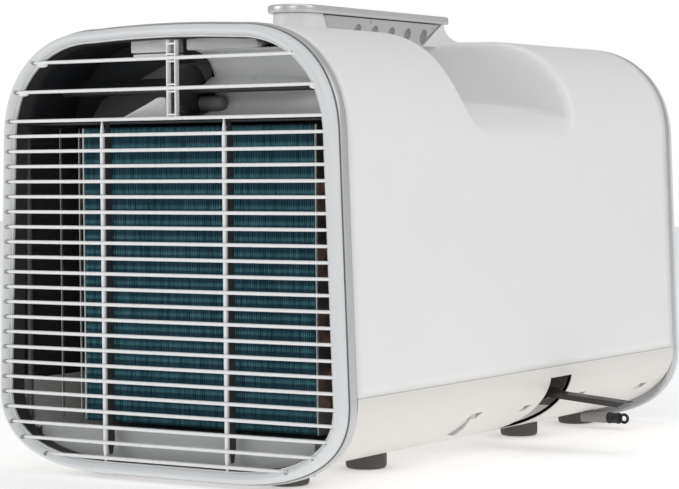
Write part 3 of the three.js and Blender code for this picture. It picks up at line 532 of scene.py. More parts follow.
tray = lay("base_shell", [(tray_points(), False, False)], warm_shell, stands_for=["base_tray"],
           centre=(0, 0, 60), sharp=60)
walled(tray, SHELL_WALL)
drain_low, drain_high = span("drain_spout")
DRAIN_Y, DRAIN_Z = (float(drain_low[i] + drain_high[i]) / 2 for i in (1, 2))
FEET = [f"foot_{hand}_{i}" for hand in ("left", "right") for i in (1, 2, 3, 4)]
SLOTS = [(-77.0, 20.0, 39.0), (8.0, 16.0, 37.0), (98.0, 22.0, 40.0), (222.0, 22.0, 37.0)]
SLOT_HALF, SLOT_BITE, SLOT_LEAN = 2.4, 0.5, 5
FOOT_GAP, DRAIN_HOLE = 0.3, 5.2
cutters = [pocket_cutter(side) for side in (-1, 1)]
for node in FEET:
    low, high = span(node)
    middle = (low + high) / 2
    around = high[0] - middle[0] + FOOT_GAP
    cutters.append(turned([(0, -3), (around, -3), (around, 30), (0, 30)], "Z", middle[:2], 40))
cutters.append(turned([(0, 80), (DRAIN_HOLE, 80), (DRAIN_HOLE, 170), (0, 170)], "X", (DRAIN_Y, DRAIN_Z), 24))
cut(tray, tool("tray_cutter", cutters))


def slot_cutter(y, width, z, side):
    """A shallow slot: a leaning four-sided bar that bites into the corner, less at its lower edge."""
    wall = float(side_reach(np.array(z - SLOT_HALF), 0, *TRAY_CURVE))
    front, rear, low, high = y - width / 2, y + width / 2, z - SLOT_HALF, z + SLOT_HALF
    face = [(front, low), (rear - SLOT_LEAN, low), (rear, high), (front + SLOT_LEAN, high)]
    return prism(face, "X", side * (wall - SLOT_BITE), side * (wall + 10))


cut(tray, tool("slot_cutter", [slot_cutter(*slot, side) for slot in SLOTS for side in (-1, 1)]), 32)
LINER_INSET, LINER_WALL, SHADE_PAINTED_ABOVE = 0.6, 1.2, 34.0


def pocket_liner(side):
    """The pocket's inside: its line carried across the pocket's length, and two flat cheeks that join it
    to the casing's corner."""
    line = POCKET_LINE[:-1].copy()
    line[0, 0] = side_reach(line[0, 1], LINER_INSET, *TRAY_CURVE)
    line[:, 1] = np.maximum(line[:, 1], UNDER + TRAY_CURVE[0] + LINER_INSET)
    steps = np.linspace(0, 1, 40)
    deep = np.stack([np.interp(steps, np.linspace(0, 1, len(line)), line[:, i]) for i in (0, 1)], -1)
    outer_z = np.linspace(line[0, 1], UNDER + TRAY_CURVE[0] + LINER_INSET, 40)
    outer = np.stack([side_reach(outer_z, LINER_INSET, *TRAY_CURVE), outer_z], -1)
    y = LATCH_Y + np.array([-POCKET_HALF, POCKET_HALF])
    t = np.linspace(0, 1, 8)
    x, z = (deep[:, [i]] * (1 - t) + outer[:, [i]] * t for i in (0, 1))
    floor = np.stack(np.broadcast_arrays(side * deep[:, :1], y, deep[:, 1:]), -1)
    cheeks = [np.stack(np.broadcast_arrays(side * x, place, z), -1) for place in y]
    return [(sheet, False, False) for sheet in [floor] + cheeks]


for side, hand in ((-1, "left"), (1, "right")):
    liner = lay(f"latch_pocket_{hand}", pocket_liner(side), painted_shade_pocket, centre=(0, LATCH_Y, 0), sharp=30)
    walled(liner, LINER_WALL)
    liner.data.materials.append(warm_shell)
    # The lining is near-black above a set height, painted shade in the deep part of the recess, and takes the warm
    # white of the base below it.
    for polygon in liner.data.polygons:
        polygon.material_index = int(polygon.center.z < SHADE_PAINTED_ABOVE * MM)

# ---- trim rings -------------------------------------------------------------------------------
# Satin silver rings, sprayed over a moulding, that close the joint between the shells and the
# bezels. The outer face is a little crowned and its front edge falls away into a dark groove.


def silver(name, metallic, dark, bright, flake_size, cloud_size, haze, roughness):
    """Silver paint: fine flakes in its colour and relief, soft clouds in its gloss."""
    finish = Finish(name, Metallic=metallic, IOR=1.5)
    flake = finish.noise(flake_size, 2)
    cloud = finish.noise(cloud_size, 4)
    colour = finish.mixed(flake.clipped(0.3, 0.7), dark, bright)
    return finish.wear(colour, cloud * haze + roughness + flake * 0.05, flake, 0.00002)


satin_silver = silver("satin_silver", 0.75, (0.52, 0.525, 0.53), (0.68, 0.685, 0.69), 2600, 30, 0.12, 0.27)
TRIM_END = float(ring_high[1])
TRIM_FRONT = FRONT + 5.5
TRIM_PROFILE = [(2.2, TRIM_FRONT + 0.6), (0.9, TRIM_FRONT), (0.4, TRIM_FRONT + 0.35), (0.1, TRIM_FRONT + 1.6),
                (0.0, TRIM_FRONT + 3.6), (0.05, TRIM_END - 1.8), (0.25, TRIM_END - 0.7), (0.7, TRIM_END - 0.15),
                (3.0, TRIM_END - 0.1), (3.0, TRIM_FRONT + 1.5)]


def swept(profile, turn=False):
    """A profile of (inset, y) points carried round the casing's outline, at the rear end if turned."""
    rings = []
    for inset, y in profile:
        x, z = outline(inset)
        rings.append(np.stack([-x if turn else x, np.full_like(x, -y if turn else y), z], -1))
    return np.stack(rings), True, True


for end, turn in (("front", False), ("rear", True)):
    ring = lay(f"{end}_trim", [swept(TRIM_PROFILE, turn)], satin_silver, stands_for=[f"{end}_trim_ring"])

# ---- bezels -----------------------------------------------------------------------------------
# A cool light grey frame at each end, crowned near its outer edge, whose inner face slopes back
# to the grille. The ends of the grille's bars sit in small slots in that slope.
cool_grey = moulding("cool_grey", (0.76, 0.775, 0.785), roughness=0.33, tint=0.03, grain=0.00001, grain_size=800)
bezel_low, bezel_high = span("front_bezel")
CROWN_Y = float(bezel_low[1])
BEZEL_BACK = float(bezel_high[1])
BAR_FRONT = float(span("front_grille")[0][1])
BAR_DEPTH, BAR_HEIGHT = 4.0, 2.8
OUTLET_FLOOR, OUTLET_PITCH, INTAKE_PITCH = 269.6, 22.0, 11.5
front_bars = [OUTLET_FLOOR + 2 * OUTLET_PITCH, OUTLET_FLOOR + OUTLET_PITCH] + [
    OUTLET_FLOOR - i * INTAKE_PITCH for i in range(23)]
rear_bars = [UNDER + 20 + i * INTAKE_PITCH * 1.2 for i in range(22)]
BEZEL_OPENING = 10.2
BEZEL_PROFILE = [(3.3, BEZEL_BACK), (3.2, TRIM_FRONT + 0.4), (1.9, TRIM_FRONT - 0.7), (1.7, TRIM_FRONT - 1.6),
                 (2.0, FRONT - 0.5), (2.7, FRONT - 3.4), (3.7, CROWN_Y + 1.6), (4.8, CROWN_Y + 0.5),
                 (6.0, CROWN_Y), (7.1, CROWN_Y + 0.6), (8.5, CROWN_Y + 2.2), (9.8, CROWN_Y + 4.2),
                 (BEZEL_OPENING, CROWN_Y + 5.0), (BEZEL_OPENING, BEZEL_BACK)]
BAR_INSET = 7.0


def bar_slots(heights, turn):
    """Small round-ended pockets where the bars meet the bezel, one at each end of each bar."""
    angle = np.linspace(0, 2 * np.pi, 16, endpoint=False)
    depth = (-FRONT - 1, -CROWN_Y + 4) if turn else (CROWN_Y - 4, FRONT + 1)
    made = []
    for z in heights:
        for side in (-1, 1):
            reach = float(side_reach(np.array(z), BAR_INSET))
            face = np.stack([side * (reach - 1.2) + np.cos(angle) * 2.0, z + np.sin(angle) * 1.75], -1)
            made.append(prism(face, "Y", *depth))
    return made


for end, turn, heights in (("front", False, front_bars), ("rear", True, rear_bars)):
    frame_ring = lay(f"{end}_bezel_frame", [swept(BEZEL_PROFILE, turn)], cool_grey, stands_for=[f"{end}_bezel"])
    cut(frame_ring, tool(f"{end}_slots", bar_slots(heights, turn)), 40)

# ---- grilles ----------------------------------------------------------------------------------
# Moulded in one piece each: a sleeve inside the bezel, oval bars across it, two uprights with a deep rib behind each,
# and at the front a windowed tie across the outlet gaps. The ribs and a shroud inside each opening are near-black as
# painted shade.
bar_white = moulding("bar_white", (0.87, 0.875, 0.88), roughness=0.26, tint=0.02, grain=0.00001)
SLEEVE = [(BEZEL_OPENING + inward, FRONT + back) for inward, back in
          ((0.1, -1.9), (0.7, -1.6), (1.0, -0.8), (1.0, 0.6), (0.1, 0.6))]


def swell(wave, power):
    """A sine or cosine raised to a power with its sign kept, which makes a circle a superellipse."""
    return np.sign(wave) * np.abs(wave) ** power


def bar(z, turn, bow=0.35, steps=44, sides=14):
    """One bar: a superellipse section carried across, thinning a little towards its two ends."""
    t = np.linspace(-1, 1, steps)[:, None]
    angle = np.linspace(0, 2 * np.pi, sides, endpoint=False)
    reach = side_reach(np.array(z), BAR_INSET + 0.4)
    thin = 1 - 0.12 * t ** 8
    y = BAR_FRONT + BAR_DEPTH / 2 + bow * t ** 2 + thin * BAR_DEPTH / 2 * swell(np.cos(angle), 0.8)
    up = z + thin * BAR_HEIGHT / 2 * swell(np.sin(angle), 0.8)
    points = np.stack([reach * t + 0 * up, -y if turn else y, up], -1)
    return capped(points), False, True


def strip(x, half, front, back, low, high, edge=0.6):
    """An upright strip with rounded long edges and round tips."""
    turn = np.linspace(0, 2 * np.pi, 16, endpoint=False)
    across = half * swell(np.cos(turn), edge)
    depth = (back - front) / 2 * swell(np.sin(turn), edge)
    t = np.linspace(0, 1, 24)
    z = low + (high - low) * t
    near_tip = np.minimum(z - low, high - z)
    fit = np.sqrt(np.clip(1 - (1 - near_tip / half) ** 2, 0.04, 1)) * (near_tip < half) + (near_tip >= half)
    points = np.stack(np.broadcast_arrays(x + across * fit[:, None],
                                          (front + back) / 2 + depth * fit[:, None] ** 0.5, z[:, None]), -1)
    return capped(points), False, True


BAR_BACK = BAR_FRONT + BAR_DEPTH
LOWEST = front_bars[-1]
front_parts = [swept(SLEEVE)] + [bar(z, False) for z in front_bars]
UPRIGHTS = (-56.0, 56.0)
front_parts += [strip(x, 1.6, BAR_BACK - 1.6, BAR_BACK + 1.8, LOWEST - 6, OUTLET_FLOOR) for x in UPRIGHTS]
TIE = (7.2, 14.6)
TIE_GAPS = [(OUTLET_FLOOR, front_bars[1]), (front_bars[1], front_bars[0]), (front_bars[0], TOP - 13.5)]
for low, high in TIE_GAPS:
    front_parts += [strip(x, 0.75, BAR_BACK - 3.4, BAR_BACK + 1.5, low, high) for x in TIE]
    for z in (low + BAR_HEIGHT / 2 + 1.2, high - BAR_HEIGHT / 2 - 1.2):
        rung = [(BAR_BACK - 3.2, z - 0.6), (BAR_BACK + 1.2, z - 0.6), (BAR_BACK + 1.2, z + 0.6),
                (BAR_BACK - 3.2, z + 0.6)]
        front_parts.append(prism(rung, "X", TIE[0] - 0.4, TIE[1] + 0.4))
KNUCKLES = [(front_bars[0], -112.0, -1.8), (front_bars[1], -131.0, -1.2), (front_bars[0], 121.0, -1.2),
            (front_bars[1], 136.0, -1.8)]


def knuckle(z, x, drop):
    """A short bump moulded under a bar near its end: a flattened ball."""
    turn, rise = np.meshgrid(np.linspace(0, 2 * np.pi, 16, endpoint=False), np.linspace(-np.pi / 2, np.pi / 2, 9))
    points = np.stack([x + 5 * np.cos(rise) * np.cos(turn), BAR_BACK - 1 + 2.6 * np.cos(rise) * np.sin(turn),
                       z + drop + 1.9 * np.sin(rise)], -1)
    return points, False, True


front_parts += [knuckle(*place) for place in KNUCKLES]
rear_parts = [swept(SLEEVE, True)] + [bar(z, True) for z in rear_bars]
rear_parts += [strip(x, 1.6, -BAR_BACK - 1.8, -BAR_BACK + 1.6, UNDER + 14, TOP - 14) for x in UPRIGHTS]
for end, parts in (("front", front_parts), ("rear", rear_parts)):
    grille = lay(f"{end}_grille_bars", parts, bar_white, stands_for=[f"{end}_grille"])
# Near-black for the deep ribs and the opening shrouds: painted shade where their sides fall in shadow.
painted_shade_grey = moulding("painted_shade_grey", (0.06, 0.058, 0.06), roughness=0.6, tint=0.2)
SHROUD = [(BEZEL_OPENING + 0.15, FRONT + 0.8), (BEZEL_OPENING + 1.3, FRONT + 0.8),
          (BEZEL_OPENING + 1.6, BEZEL_BACK + 3), (BEZEL_OPENING + 0.15, BEZEL_BACK + 3)]
for end, turn in (("front", False), ("rear", True)):
    lay(f"{end}_opening_shroud", [swept(SHROUD, turn)], painted_shade_grey)
rib_lines = [strip(x + 0.2, 0.8, BAR_BACK + 2.0, BAR_BACK + 10.5, LOWEST + 2, OUTLET_FLOOR - 2) for x in UPRIGHTS]
ribs = lay("front_grille_ribs", rib_lines, painted_shade_grey)

# ---- handle -----------------------------------------------------------------------------------
# A silver lid, round in front and square behind, clips on to a grey grip that bridges the hand
# opening. The lid holds the control panel: a dark window and four keys that press straight down.
lid_silver = silver("lid_silver", 0.6, (0.62, 0.625, 0.63), (0.76, 0.765, 0.77), 2400, 40, 0.1, 0.24)
grip_grey = moulding("grip_grey", (0.55, 0.55, 0.555), roughness=0.5, tint=0.06, grain=0.00006)
# Darker grey for the floors of the grip's dimples: painted shade in the hollows.
painted_dimple_shade = moulding("painted_dimple_shade", (0.30, 0.30, 0.305), roughness=0.6, tint=0.08, grain=0.00008)
key_grey = moulding("key_grey", (0.30, 0.305, 0.31), roughness=0.45, tint=0.05)
smoked = Finish("smoked_window", IOR=1.5, Coat_Weight=0.6)
smear = smoked.noise(70, 5)
smoked = smoked.wear(smoked.mixed(smear, (0.006, 0.006, 0.008), (0.012, 0.012, 0.015)), smear * 0.12 + 0.06,
                     smear, 0.00001)
KEYS = [f"button_{i}" for i in (1, 2, 3, 4)]
KEY_GAP = 0.3


def lid_plan(inset):
    """A half circle in front, straight sides and two small rounded corners behind, in x and y."""
    half, corner = LID_HALF - inset, 3.0
    turn = np.linspace(np.pi, 2 * np.pi, 41)[:, None]
    bow = np.hstack([half * np.cos(turn), LID_FRONT + LID_HALF + half * np.sin(turn)])
    rear = LID_REAR - inset
    right = curve((half, rear - corner), (half, rear), (half - corner, rear), 7)
    left = right[::-1] * (-1, 1)
    side = np.linspace(bow[-1], right[0], 14)[1:-1]
    return np.concatenate([bow, side, right, left, side[::-1] * (-1, 1)])


LID_PROFILE = [(2.0, LID_UNDER), (0.8, LID_UNDER), (0.25, LID_UNDER + 0.25), (0, LID_UNDER + 0.8), (0, LID_TOP - 2.2),
               (0.25, LID_TOP - 1.4), (0.9, LID_TOP - 0.75), (1.9, LID_TOP - 0.45), (3.4, LID_TOP - 0.4)]
lid_rows = np.stack([np.hstack([lid_plan(inset), np.full((len(lid_plan(0)), 1), z)]) for inset, z in LID_PROFILE])
lid = lay("handle_lid_shell", [(capped(lid_rows), False, True)], lid_silver, stands_for=["handle_lid"], sharp=50)
wells = []
for key in KEYS:
    low, high = span(key)
    middle, radius = (low + high) / 2, (high[0] - low[0]) / 2
    well = [(0, LID_UNDER - 3), (radius + KEY_GAP, LID_UNDER - 3), (radius + KEY_GAP, LID_TOP + 3), (0, LID_TOP + 3)]
    wells.append(turned(well, "Z", middle[:2], 40))
    cap_rows = [(0, low[2]), (radius, low[2]), (radius, high[2] - 0.9), (radius - 0.25, high[2] - 0.35),
                (radius - 0.9, high[2] - 0.05), (radius * 0.5, high[2] - 0.25), (0, high[2] - 0.35)]
    made = lay(f"{key}_cap", [turned(cap_rows, "Z", middle[:2], 40)], key_grey,
               body=key.replace("button", "key"), stands_for=[key])
window_low, window_high = span("display_window")


def plan_corners(low, high, grow=0.0):
    """The four corners of an upright box's plan, moved out by a distance."""
    (left, front), (right, rear) = low[:2] - grow, high[:2] + grow
    return [(left, front), (right, front), (right, rear), (left, rear)]


wells.append(prism(plan_corners(window_low, window_high, 0.3), "Z", window_low[2] - 0.1, LID_TOP + 3))
cut(lid, tool("lid_wells", wells), 50)


def rounded(points, radius, steps=6):
    """The outline with each corner swapped for a curve that starts a radius before it and ends one after."""
    points = np.array(points, float)
    before, after = np.roll(points, 1, 0), np.roll(points, -1, 0)
    made = []
    for corner, last, following in zip(points, before, after):
        start = corner + (last - corner) * min(0.5, radius / np.linalg.norm(last - corner))
        end = corner + (following - corner) * min(0.5, radius / np.linalg.norm(following - corner))
        made.append(curve(start, corner, end, steps))
    return np.concatenate(made)


def slab(outline_points, axis, start, end, edge=0.6):
    """A rounded plate: an outline carried along an axis, drawn in at both faces by a quarter circle."""
    points = np.array(outline_points, float)
    middle = points.mean(0)
    reach = np.linalg.norm(points - middle, axis=1, keepdims=True)
    turn = np.linspace(0, np.pi / 2, 4)[::-1]
    rows = [(start + edge * (1 - np.sin(a)), edge * (1 - np.cos(a))) for a in turn]
    rows += [(start + end - place, inward) for place, inward in rows[::-1]]
    made = np.empty((len(rows), len(points), 3))
    own = "XYZ".index(axis)
    plane = [i for i in range(3) if i != own]
    for row, (place, inward) in zip(made, rows):
        row[:, plane] = middle + (points - middle) * (1 - inward / reach)
        row[:, own] = place
    return capped(made), False, True


GRIP_LOW, GRIP_SEAT = float(grip_low[2]), float(grip_high[2])
grip_line = rounded([(GRIP_FRONT, GRIP_SEAT), (GRIP_FRONT + 6, 338), (GRIP_FRONT + 8, 330),
                     (GRIP_FRONT + 16, GRIP_LOW), (GRIP_REAR - 44, GRIP_LOW), (GRIP_REAR - 36, 328),
                     (GRIP_REAR - 30.5, 337.5), (GRIP_REAR - 0.8, GRIP_SEAT)], 3)
grip = lay("handle_grip_shell", [slab(grip_line, "X", -POST_HALF, POST_HALF, 2.5)], grip_grey,
           stands_for=["handle_grip"], sharp=50)
DIMPLE_FIRST, DIMPLE_PITCH, DIMPLE_Z = -40.0, 26.2, 343.0
oval = np.linspace(0, 2 * np.pi, 24, endpoint=False)
dimples, dimple_shade_floors, ticks = [], [], []
for i in range(5):
    up = 6.2 * np.sin(oval)
    face = np.stack([DIMPLE_FIRST + DIMPLE_PITCH * i + 5.4 * np.cos(oval) + 0.45 * up, DIMPLE_Z + up], -1)
    for side in (-1, 1):
        dimples.append(prism(face, "X", side * (POST_HALF - 1.4), side * (POST_HALF + 4)))
        dimple_shade_floors.append(prism(face, "X", side * (POST_HALF - 2.0), side * (POST_HALF - 1.3)))
for y, drop in ((-19.2, 4.5), (60.2, 1.6)):
    notch = plan_corners(np.array([y, GRIP_SEAT - drop]) - (0.5, 0), np.array([y, GRIP_SEAT]) + (0.5, 2))
    ticks += [prism(notch, "X", side * (POST_HALF - 1.0), side * (POST_HALF + 3)) for side in (-1, 1)]
cut(grip, tool("grip_cutter", dimples + ticks), 35)
lay("grip_dimple_shade", dimple_shade_floors, painted_dimple_shade, sharp=30)

# ---- feet and latches -------------------------------------------------------------------------
# Eight turned rubber feet press into the base. A lever in each pocket turns on a steel pin and
# swings out under the casing to hold a battery against the unit.
foot_rubber = moulding("foot_rubber", (0.115, 0.112, 0.105), roughness=0.72, tint=0.25, grain=0.00025,
                       grain_size=900)
lever_black = moulding("lever_black", (0.034, 0.031, 0.029), roughness=0.42, tint=0.25, grain=0.00005)
steel = Finish("steel", Metallic=0.95, IOR=2.0)
drawn = steel.noise(900, 3, (1, 0.05, 1))
steel = steel.wear(steel.mixed(drawn, (0.45, 0.45, 0.46), (0.6, 0.6, 0.61)), drawn * 0.15 + 0.22, drawn, 0.00002)
for node in FEET:
    low, high = span(node)
    middle, radius = (low + high) / 2, (high[0] - low[0]) / 2
    rings = [(0, 0.9), (radius - 7, 0.9), (radius - 6.4, 0.0), (radius - 2.2, 0.0), (radius - 1.2, 0.3),
             (radius - 0.5, 1.2), (radius - 0.1, 2.4), (radius, 4.0), (radius, 9.0), (radius - 0.2, high[2]),
             (0, high[2])]
    foot = lay(f"{node}_pad", [turned(rings, "Z", middle[:2], 56)], foot_rubber, stands_for=[node], sharp=50)
LEVER_TILT, LEVER_REACH, LEVER_BED, LEVER_HALF = math.radians(5), 74.0, -2.2, 8.5
EYE = 4.6


def lever_parts(side):
    """A flat blade with a slanted tip, and a thicker root that tapers into it beside the eye."""
    top = LEVER_BED + 4.5
    blade = rounded([(3.4, LEVER_BED), (LEVER_REACH - 7, LEVER_BED), (LEVER_REACH, top), (3.4, top)], 0.8, 5)
    root = rounded([(3.2, LEVER_BED - 0.8), (15, LEVER_BED + 0.4), (13, top), (2.6, EYE - 0.9)], 1.0, 5)
    parts = []
    for line, half in ((blade, LEVER_HALF), (root, LEVER_HALF - 0.8)):
        x = PIVOT[0] + line[:, 0] * math.cos(LEVER_TILT) + line[:, 1] * math.sin(LEVER_TILT)
        z = PIVOT[1] - line[:, 0] * math.sin(LEVER_TILT) + line[:, 1] * math.cos(LEVER_TILT)
        parts.append(slab(np.stack([side * x, z], -1), "Y", LATCH_Y - half, LATCH_Y + half, 0.6))
    near, far = LATCH_Y - LEVER_HALF + 0.1, LATCH_Y + LEVER_HALF - 0.1
    eye = [(2.3, near), (EYE - 0.5, near), (EYE, near + 0.5), (EYE, far - 0.5), (EYE - 0.5, far), (2.3, far)]
    return parts + [(turned(eye, "Y", (side * PIVOT[0], PIVOT[1]), 40)[0], True, True)]


for side, hand in ((-1, "left"), (1, "right")):
    lever = lay(f"latch_blade_{hand}", lever_parts(side), lever_black, body=f"latch_{hand}",
                stands_for=[f"latch_lever_{hand}"], sharp=40)
    low, high = span(f"latch_pin_{hand}")
    rings = [(0, low[1]), (1.6, low[1]), (2.0, low[1] + 0.5), (2.0, high[1] - 0.5), (1.6, high[1]), (0, high[1])]
    pin = lay(f"latch_axle_{hand}", [turned(rings, "Y", (side * PIVOT[0], PIVOT[1]), 28)], steel,
              stands_for=[f"latch_pin_{hand}"])

# ---- drain ------------------------------------------------------------------------------------
# A short moulded spout lets condensate out under the rear of the base; a black rubber cap with a
# pull ring closes it.
spout_grey = moulding("spout_grey", (0.33, 0.325, 0.31), roughness=0.5, tint=0.1)
cap_rubber = moulding("cap_rubber", (0.02, 0.02, 0.02), roughness=0.55, tint=0.3, grain=0.0001, grain_size=900)
DRAIN_START, DRAIN_END = float(drain_low[0]), float(drain_high[0])
DRAIN_RADIUS = float(drain_high[1] - drain_low[1]) / 2
spout_rings = [(2.0, DRAIN_END), (3.2, DRAIN_END), (3.35, DRAIN_END - 0.4), (3.35, DRAIN_END - 5.0),
               (DRAIN_RADIUS - 0.4, DRAIN_END - 5.0), (DRAIN_RADIUS, DRAIN_END - 5.5), (DRAIN_RADIUS, DRAIN_START),
               (2.0, DRAIN_START)]
spout_points = turned(spout_rings, "X", (DRAIN_Y, DRAIN_Z), 32)[0]
lay("drain_pipe", [(spout_points, True, True)], spout_grey, stands_for=["drain_spout"])
CAP_START, CAP_TIP = (float(corner[0]) for corner in span("drain_cap"))
cap_rings = [(radius, CAP_START + along) for radius, along in
             ((4.7, 0), (5.0, 0.4), (5.0, 2.2), (4.6, 2.8), (4.6, 8.4), (5.0, 9.0), (5.0, 10.8), (4.5, 11.4),
              (0, 11.5))]
RING_CENTRE = CAP_TIP - 4.9


def pull_ring(radius=3.5, wire=1.3):
    """A torus lying along the drain: a circle of the wire's radius carried round a circle."""
    around, about = np.meshgrid(*(np.linspace(0, 2 * np.pi, count, endpoint=False) for count in (36, 14)))
    out = radius + wire * np.cos(about)
    points = np.stack([RING_CENTRE + out * np.cos(around), DRAIN_Y + wire * np.sin(about),
                       DRAIN_Z + out * np.sin(around)], -1)
    return points, True, True


hollow = [(0, DRAIN_END + 0.5), (3.8, DRAIN_END + 0.5), (3.8, CAP_START)]
cap_outside = turned(hollow + cap_rings, "X", (DRAIN_Y, DRAIN_Z), 36)
cap = lay("drain_plug", [cap_outside, pull_ring()], cap_rubber, body="cap", stands_for=["drain_cap"])

# ---- coils ------------------------------------------------------------------------------------
# Thin aluminium fins pressed on copper hairpins between two end plates. The cold coil's fins have
# a teal coating against corrosion; the hot coil's are bare.
COIL_PITCH = 1.65


def fin_stack(low, high, edge_sign):
    """Each fin is a thin bar of four corners carried up, with its edge bent sideways a little by a slow
    wave along its height whose place differs from fin to fin."""
    patches = []
    place = np.arange(low[0] + 0.4, high[0] - 0.2, COIL_PITCH)
    z = np.linspace(low[2], high[2], 15)
    for i, x in enumerate(place):
        sway = 0.16 * np.sin(z * 0.09 + i * 1.7) + 0.12 * np.sin(z * 0.23 + i * 0.61)
        front, back = (low[1], high[1]) if edge_sign < 0 else (high[1], low[1])
        ring = np.array([(-0.14, 0), (0.14, 0), (0.14, 1), (-0.14, 1)])
        points = np.empty((len(z), 4, 3))
        points[..., 0] = x + ring[:, 0] + sway[:, None] * (1 - ring[:, 1])
        points[..., 1] = front + 0.25 * (i % 3 == 0) * -edge_sign * (1 - ring[:, 1]) + (back - front) * ring[:, 1]
        points[..., 2] = z[:, None]
        patches.append((capped(points), False, True))
    return patches


teal = Finish("teal_fins", Metallic=0.35, IOR=1.5)
height = teal.along("Z")
# A lighter band low in each gap between the grille's bars is painted light: the light and shadow that the bars throw
# on the fins, set to the bar pitch.
phase = height.combined("FRACT", height * (1000 / INTAKE_PITCH) + 1 - (OUTLET_FLOOR / INTAKE_PITCH) % 1, 0.0)
painted_light_band = phase.clipped(0.12, 0.24) * (phase.clipped(0.30, 0.52) * -1 + 1)
streak = teal.noise(620, 3, (1, 0.1, 0.05))
blot = teal.noise(60, 4)
deep = teal.mixed(streak.clipped(0.3, 0.7), (0.03, 0.105, 0.15), (0.075, 0.20, 0.265))
# The bright cyan colour here is the painted light of that band.
teal_fins = teal.wear(teal.mixed(painted_light_band * (streak.clipped(0.3, 0.6) * 0.6 + 0.3), deep, (0.20, 0.52, 0.60)),
                      streak * 0.2 + 0.36 + blot * 0.08, streak, 0.0001)
bare = Finish("bare_fins", Metallic=0.8, IOR=1.5)
grime = bare.noise(45, 4)
lines = bare.noise(700, 2, (1, 0.1, 0.05))
bare_fins = bare.wear(bare.mixed(grime.clipped(0.4, 0.8), (0.42, 0.425, 0.43), (0.30, 0.30, 0.30)),
                      lines * 0.2 + 0.34, lines, 0.00008)
copper = Finish("copper", Metallic=0.9, IOR=1.5)
stain = copper.noise(120, 5)
rub = copper.noise(1500, 2)
copper_tube = copper.wear(copper.mixed(stain.clipped(0.35, 0.7), (0.62, 0.30, 0.19), (0.30, 0.13, 0.09)),
                          stain * 0.25 + 0.22, rub, 0.00004)
plate_metal = Finish("plate_metal", Metallic=0.85, IOR=1.5)
rolled = plate_metal.noise(500, 3, (1, 0.06, 1))
plate_metal = plate_metal.wear(plate_metal.mixed(rolled, (0.42, 0.43, 0.44), (0.62, 0.63, 0.64)),
                               rolled * 0.2 + 0.25, rolled, 0.00003)


def pipe(path, radius, sides=12):
    """A tube: a circle of fixed radius carried along a path, square to the path at each point."""
    path = np.array(path, float)
    ahead = np.gradient(path, axis=0)
    ahead /= np.linalg.norm(ahead, axis=1, keepdims=True)
    across = np.cross(ahead, (0, 1, 0))
    across /= np.linalg.norm(across, axis=1, keepdims=True)
    beside = np.cross(ahead, across)
    turn = np.linspace(0, 2 * np.pi, sides, endpoint=False)[None, :, None]
    rings = path[:, None] + radius * (across[:, None] * np.cos(turn) + beside[:, None] * np.sin(turn))
    return capped(rings), False, True


def hairpins(low, high, tube_low, tube_high, radius, passes):
    """Level runs through the fins joined at both ends by half circles, as one path from low to high."""
    z = np.linspace(low[2] + 20, high[2] - 20, passes)
    bend = (z[1] - z[0]) / 2
    y = (tube_low[1] + tube_high[1]) / 2
    ends = (max(tube_low[0] + radius + bend, low[0] - 4), min(tube_high[0] - radius - bend, high[0] + 4))
    turn = np.linspace(-np.pi / 2, np.pi / 2, 15)
    path = []
    for i, level in enumerate(z):
        start, stop = (ends[0], ends[1]) if i % 2 == 0 else (ends[1], ends[0])
        sign = 1 if i % 2 == 0 else -1
        path += [(x, y, level) for x in np.linspace(start, stop, 8)]
        if i < passes - 1:
            path += [(stop + sign * bend * np.cos(a), y, level + bend + bend * np.sin(a)) for a in turn[1:-1]]
    return path


TUBE_RADIUS, PASSES = 3.5, 9
for end, fins, sign in (("evaporator", teal_fins, -1), ("condenser", bare_fins, 1)):
    low, high = span(f"{end}_fins")
    stack = lay(f"{end}_stack", fin_stack(low, high, sign), fins, stands_for=[f"{end}_fins"], sharp=30)
    tube_low, tube_high = span(f"{end}_tube")
    path = hairpins(low, high, tube_low, tube_high, TUBE_RADIUS, PASSES)
    coil = lay(f"{end}_hairpins", [pipe(path, TUBE_RADIUS)], copper_tube, stands_for=[f"{end}_tube"], sharp=60)

# ---- cold-air outlet --------------------------------------------------------------------------
# A near-black duct lining over the coil, painted shade for the outlet's dark inside, a charcoal divider plate, white
# ledge mouldings and a light grey scoop that turns the air forward. Two vanes share one shaft with a toothed thumb
# wheel; the left one is near-black as painted shade.
# Near-black for the duct lining, the cheek and the left vane: painted shade of the outlet's dark inside.
painted_shade_black = moulding("painted_shade_black", (0.035, 0.038, 0.042), roughness=0.5, tint=0.2)
charcoal = moulding("charcoal", (0.15, 0.142, 0.142), roughness=0.5, tint=0.08)
scoop_grey = moulding("scoop_grey", (0.68, 0.685, 0.69), roughness=0.3, tint=0.06, coat=0.2)
wheel_black = moulding("wheel_black", (0.03, 0.031, 0.034), roughness=0.5, tint=0.2, grain=0.00006)
duct_low, duct_high = span("outlet_duct")
DUCT_FRONT, DUCT_BACK, DUCT_FLOOR = float(duct_low[1]), float(duct_high[1]), float(duct_low[2])
wheel_low, wheel_high = span("flap_wheel")
FLAP_Y, FLAP_Z = (float(wheel_low[i] + wheel_high[i]) / 2 for i in (1, 2))
WHEEL_RADIUS = float(wheel_high[2] - wheel_low[2]) / 2


def arch(inset, low):
    """The casing's outline above a height, from its right end over the top to its left end."""
    half_x, half_z = right_side(inset, low)
    return np.concatenate([half_x, -half_x[-2::-1]]), np.concatenate([half_z, half_z[-2::-1]])


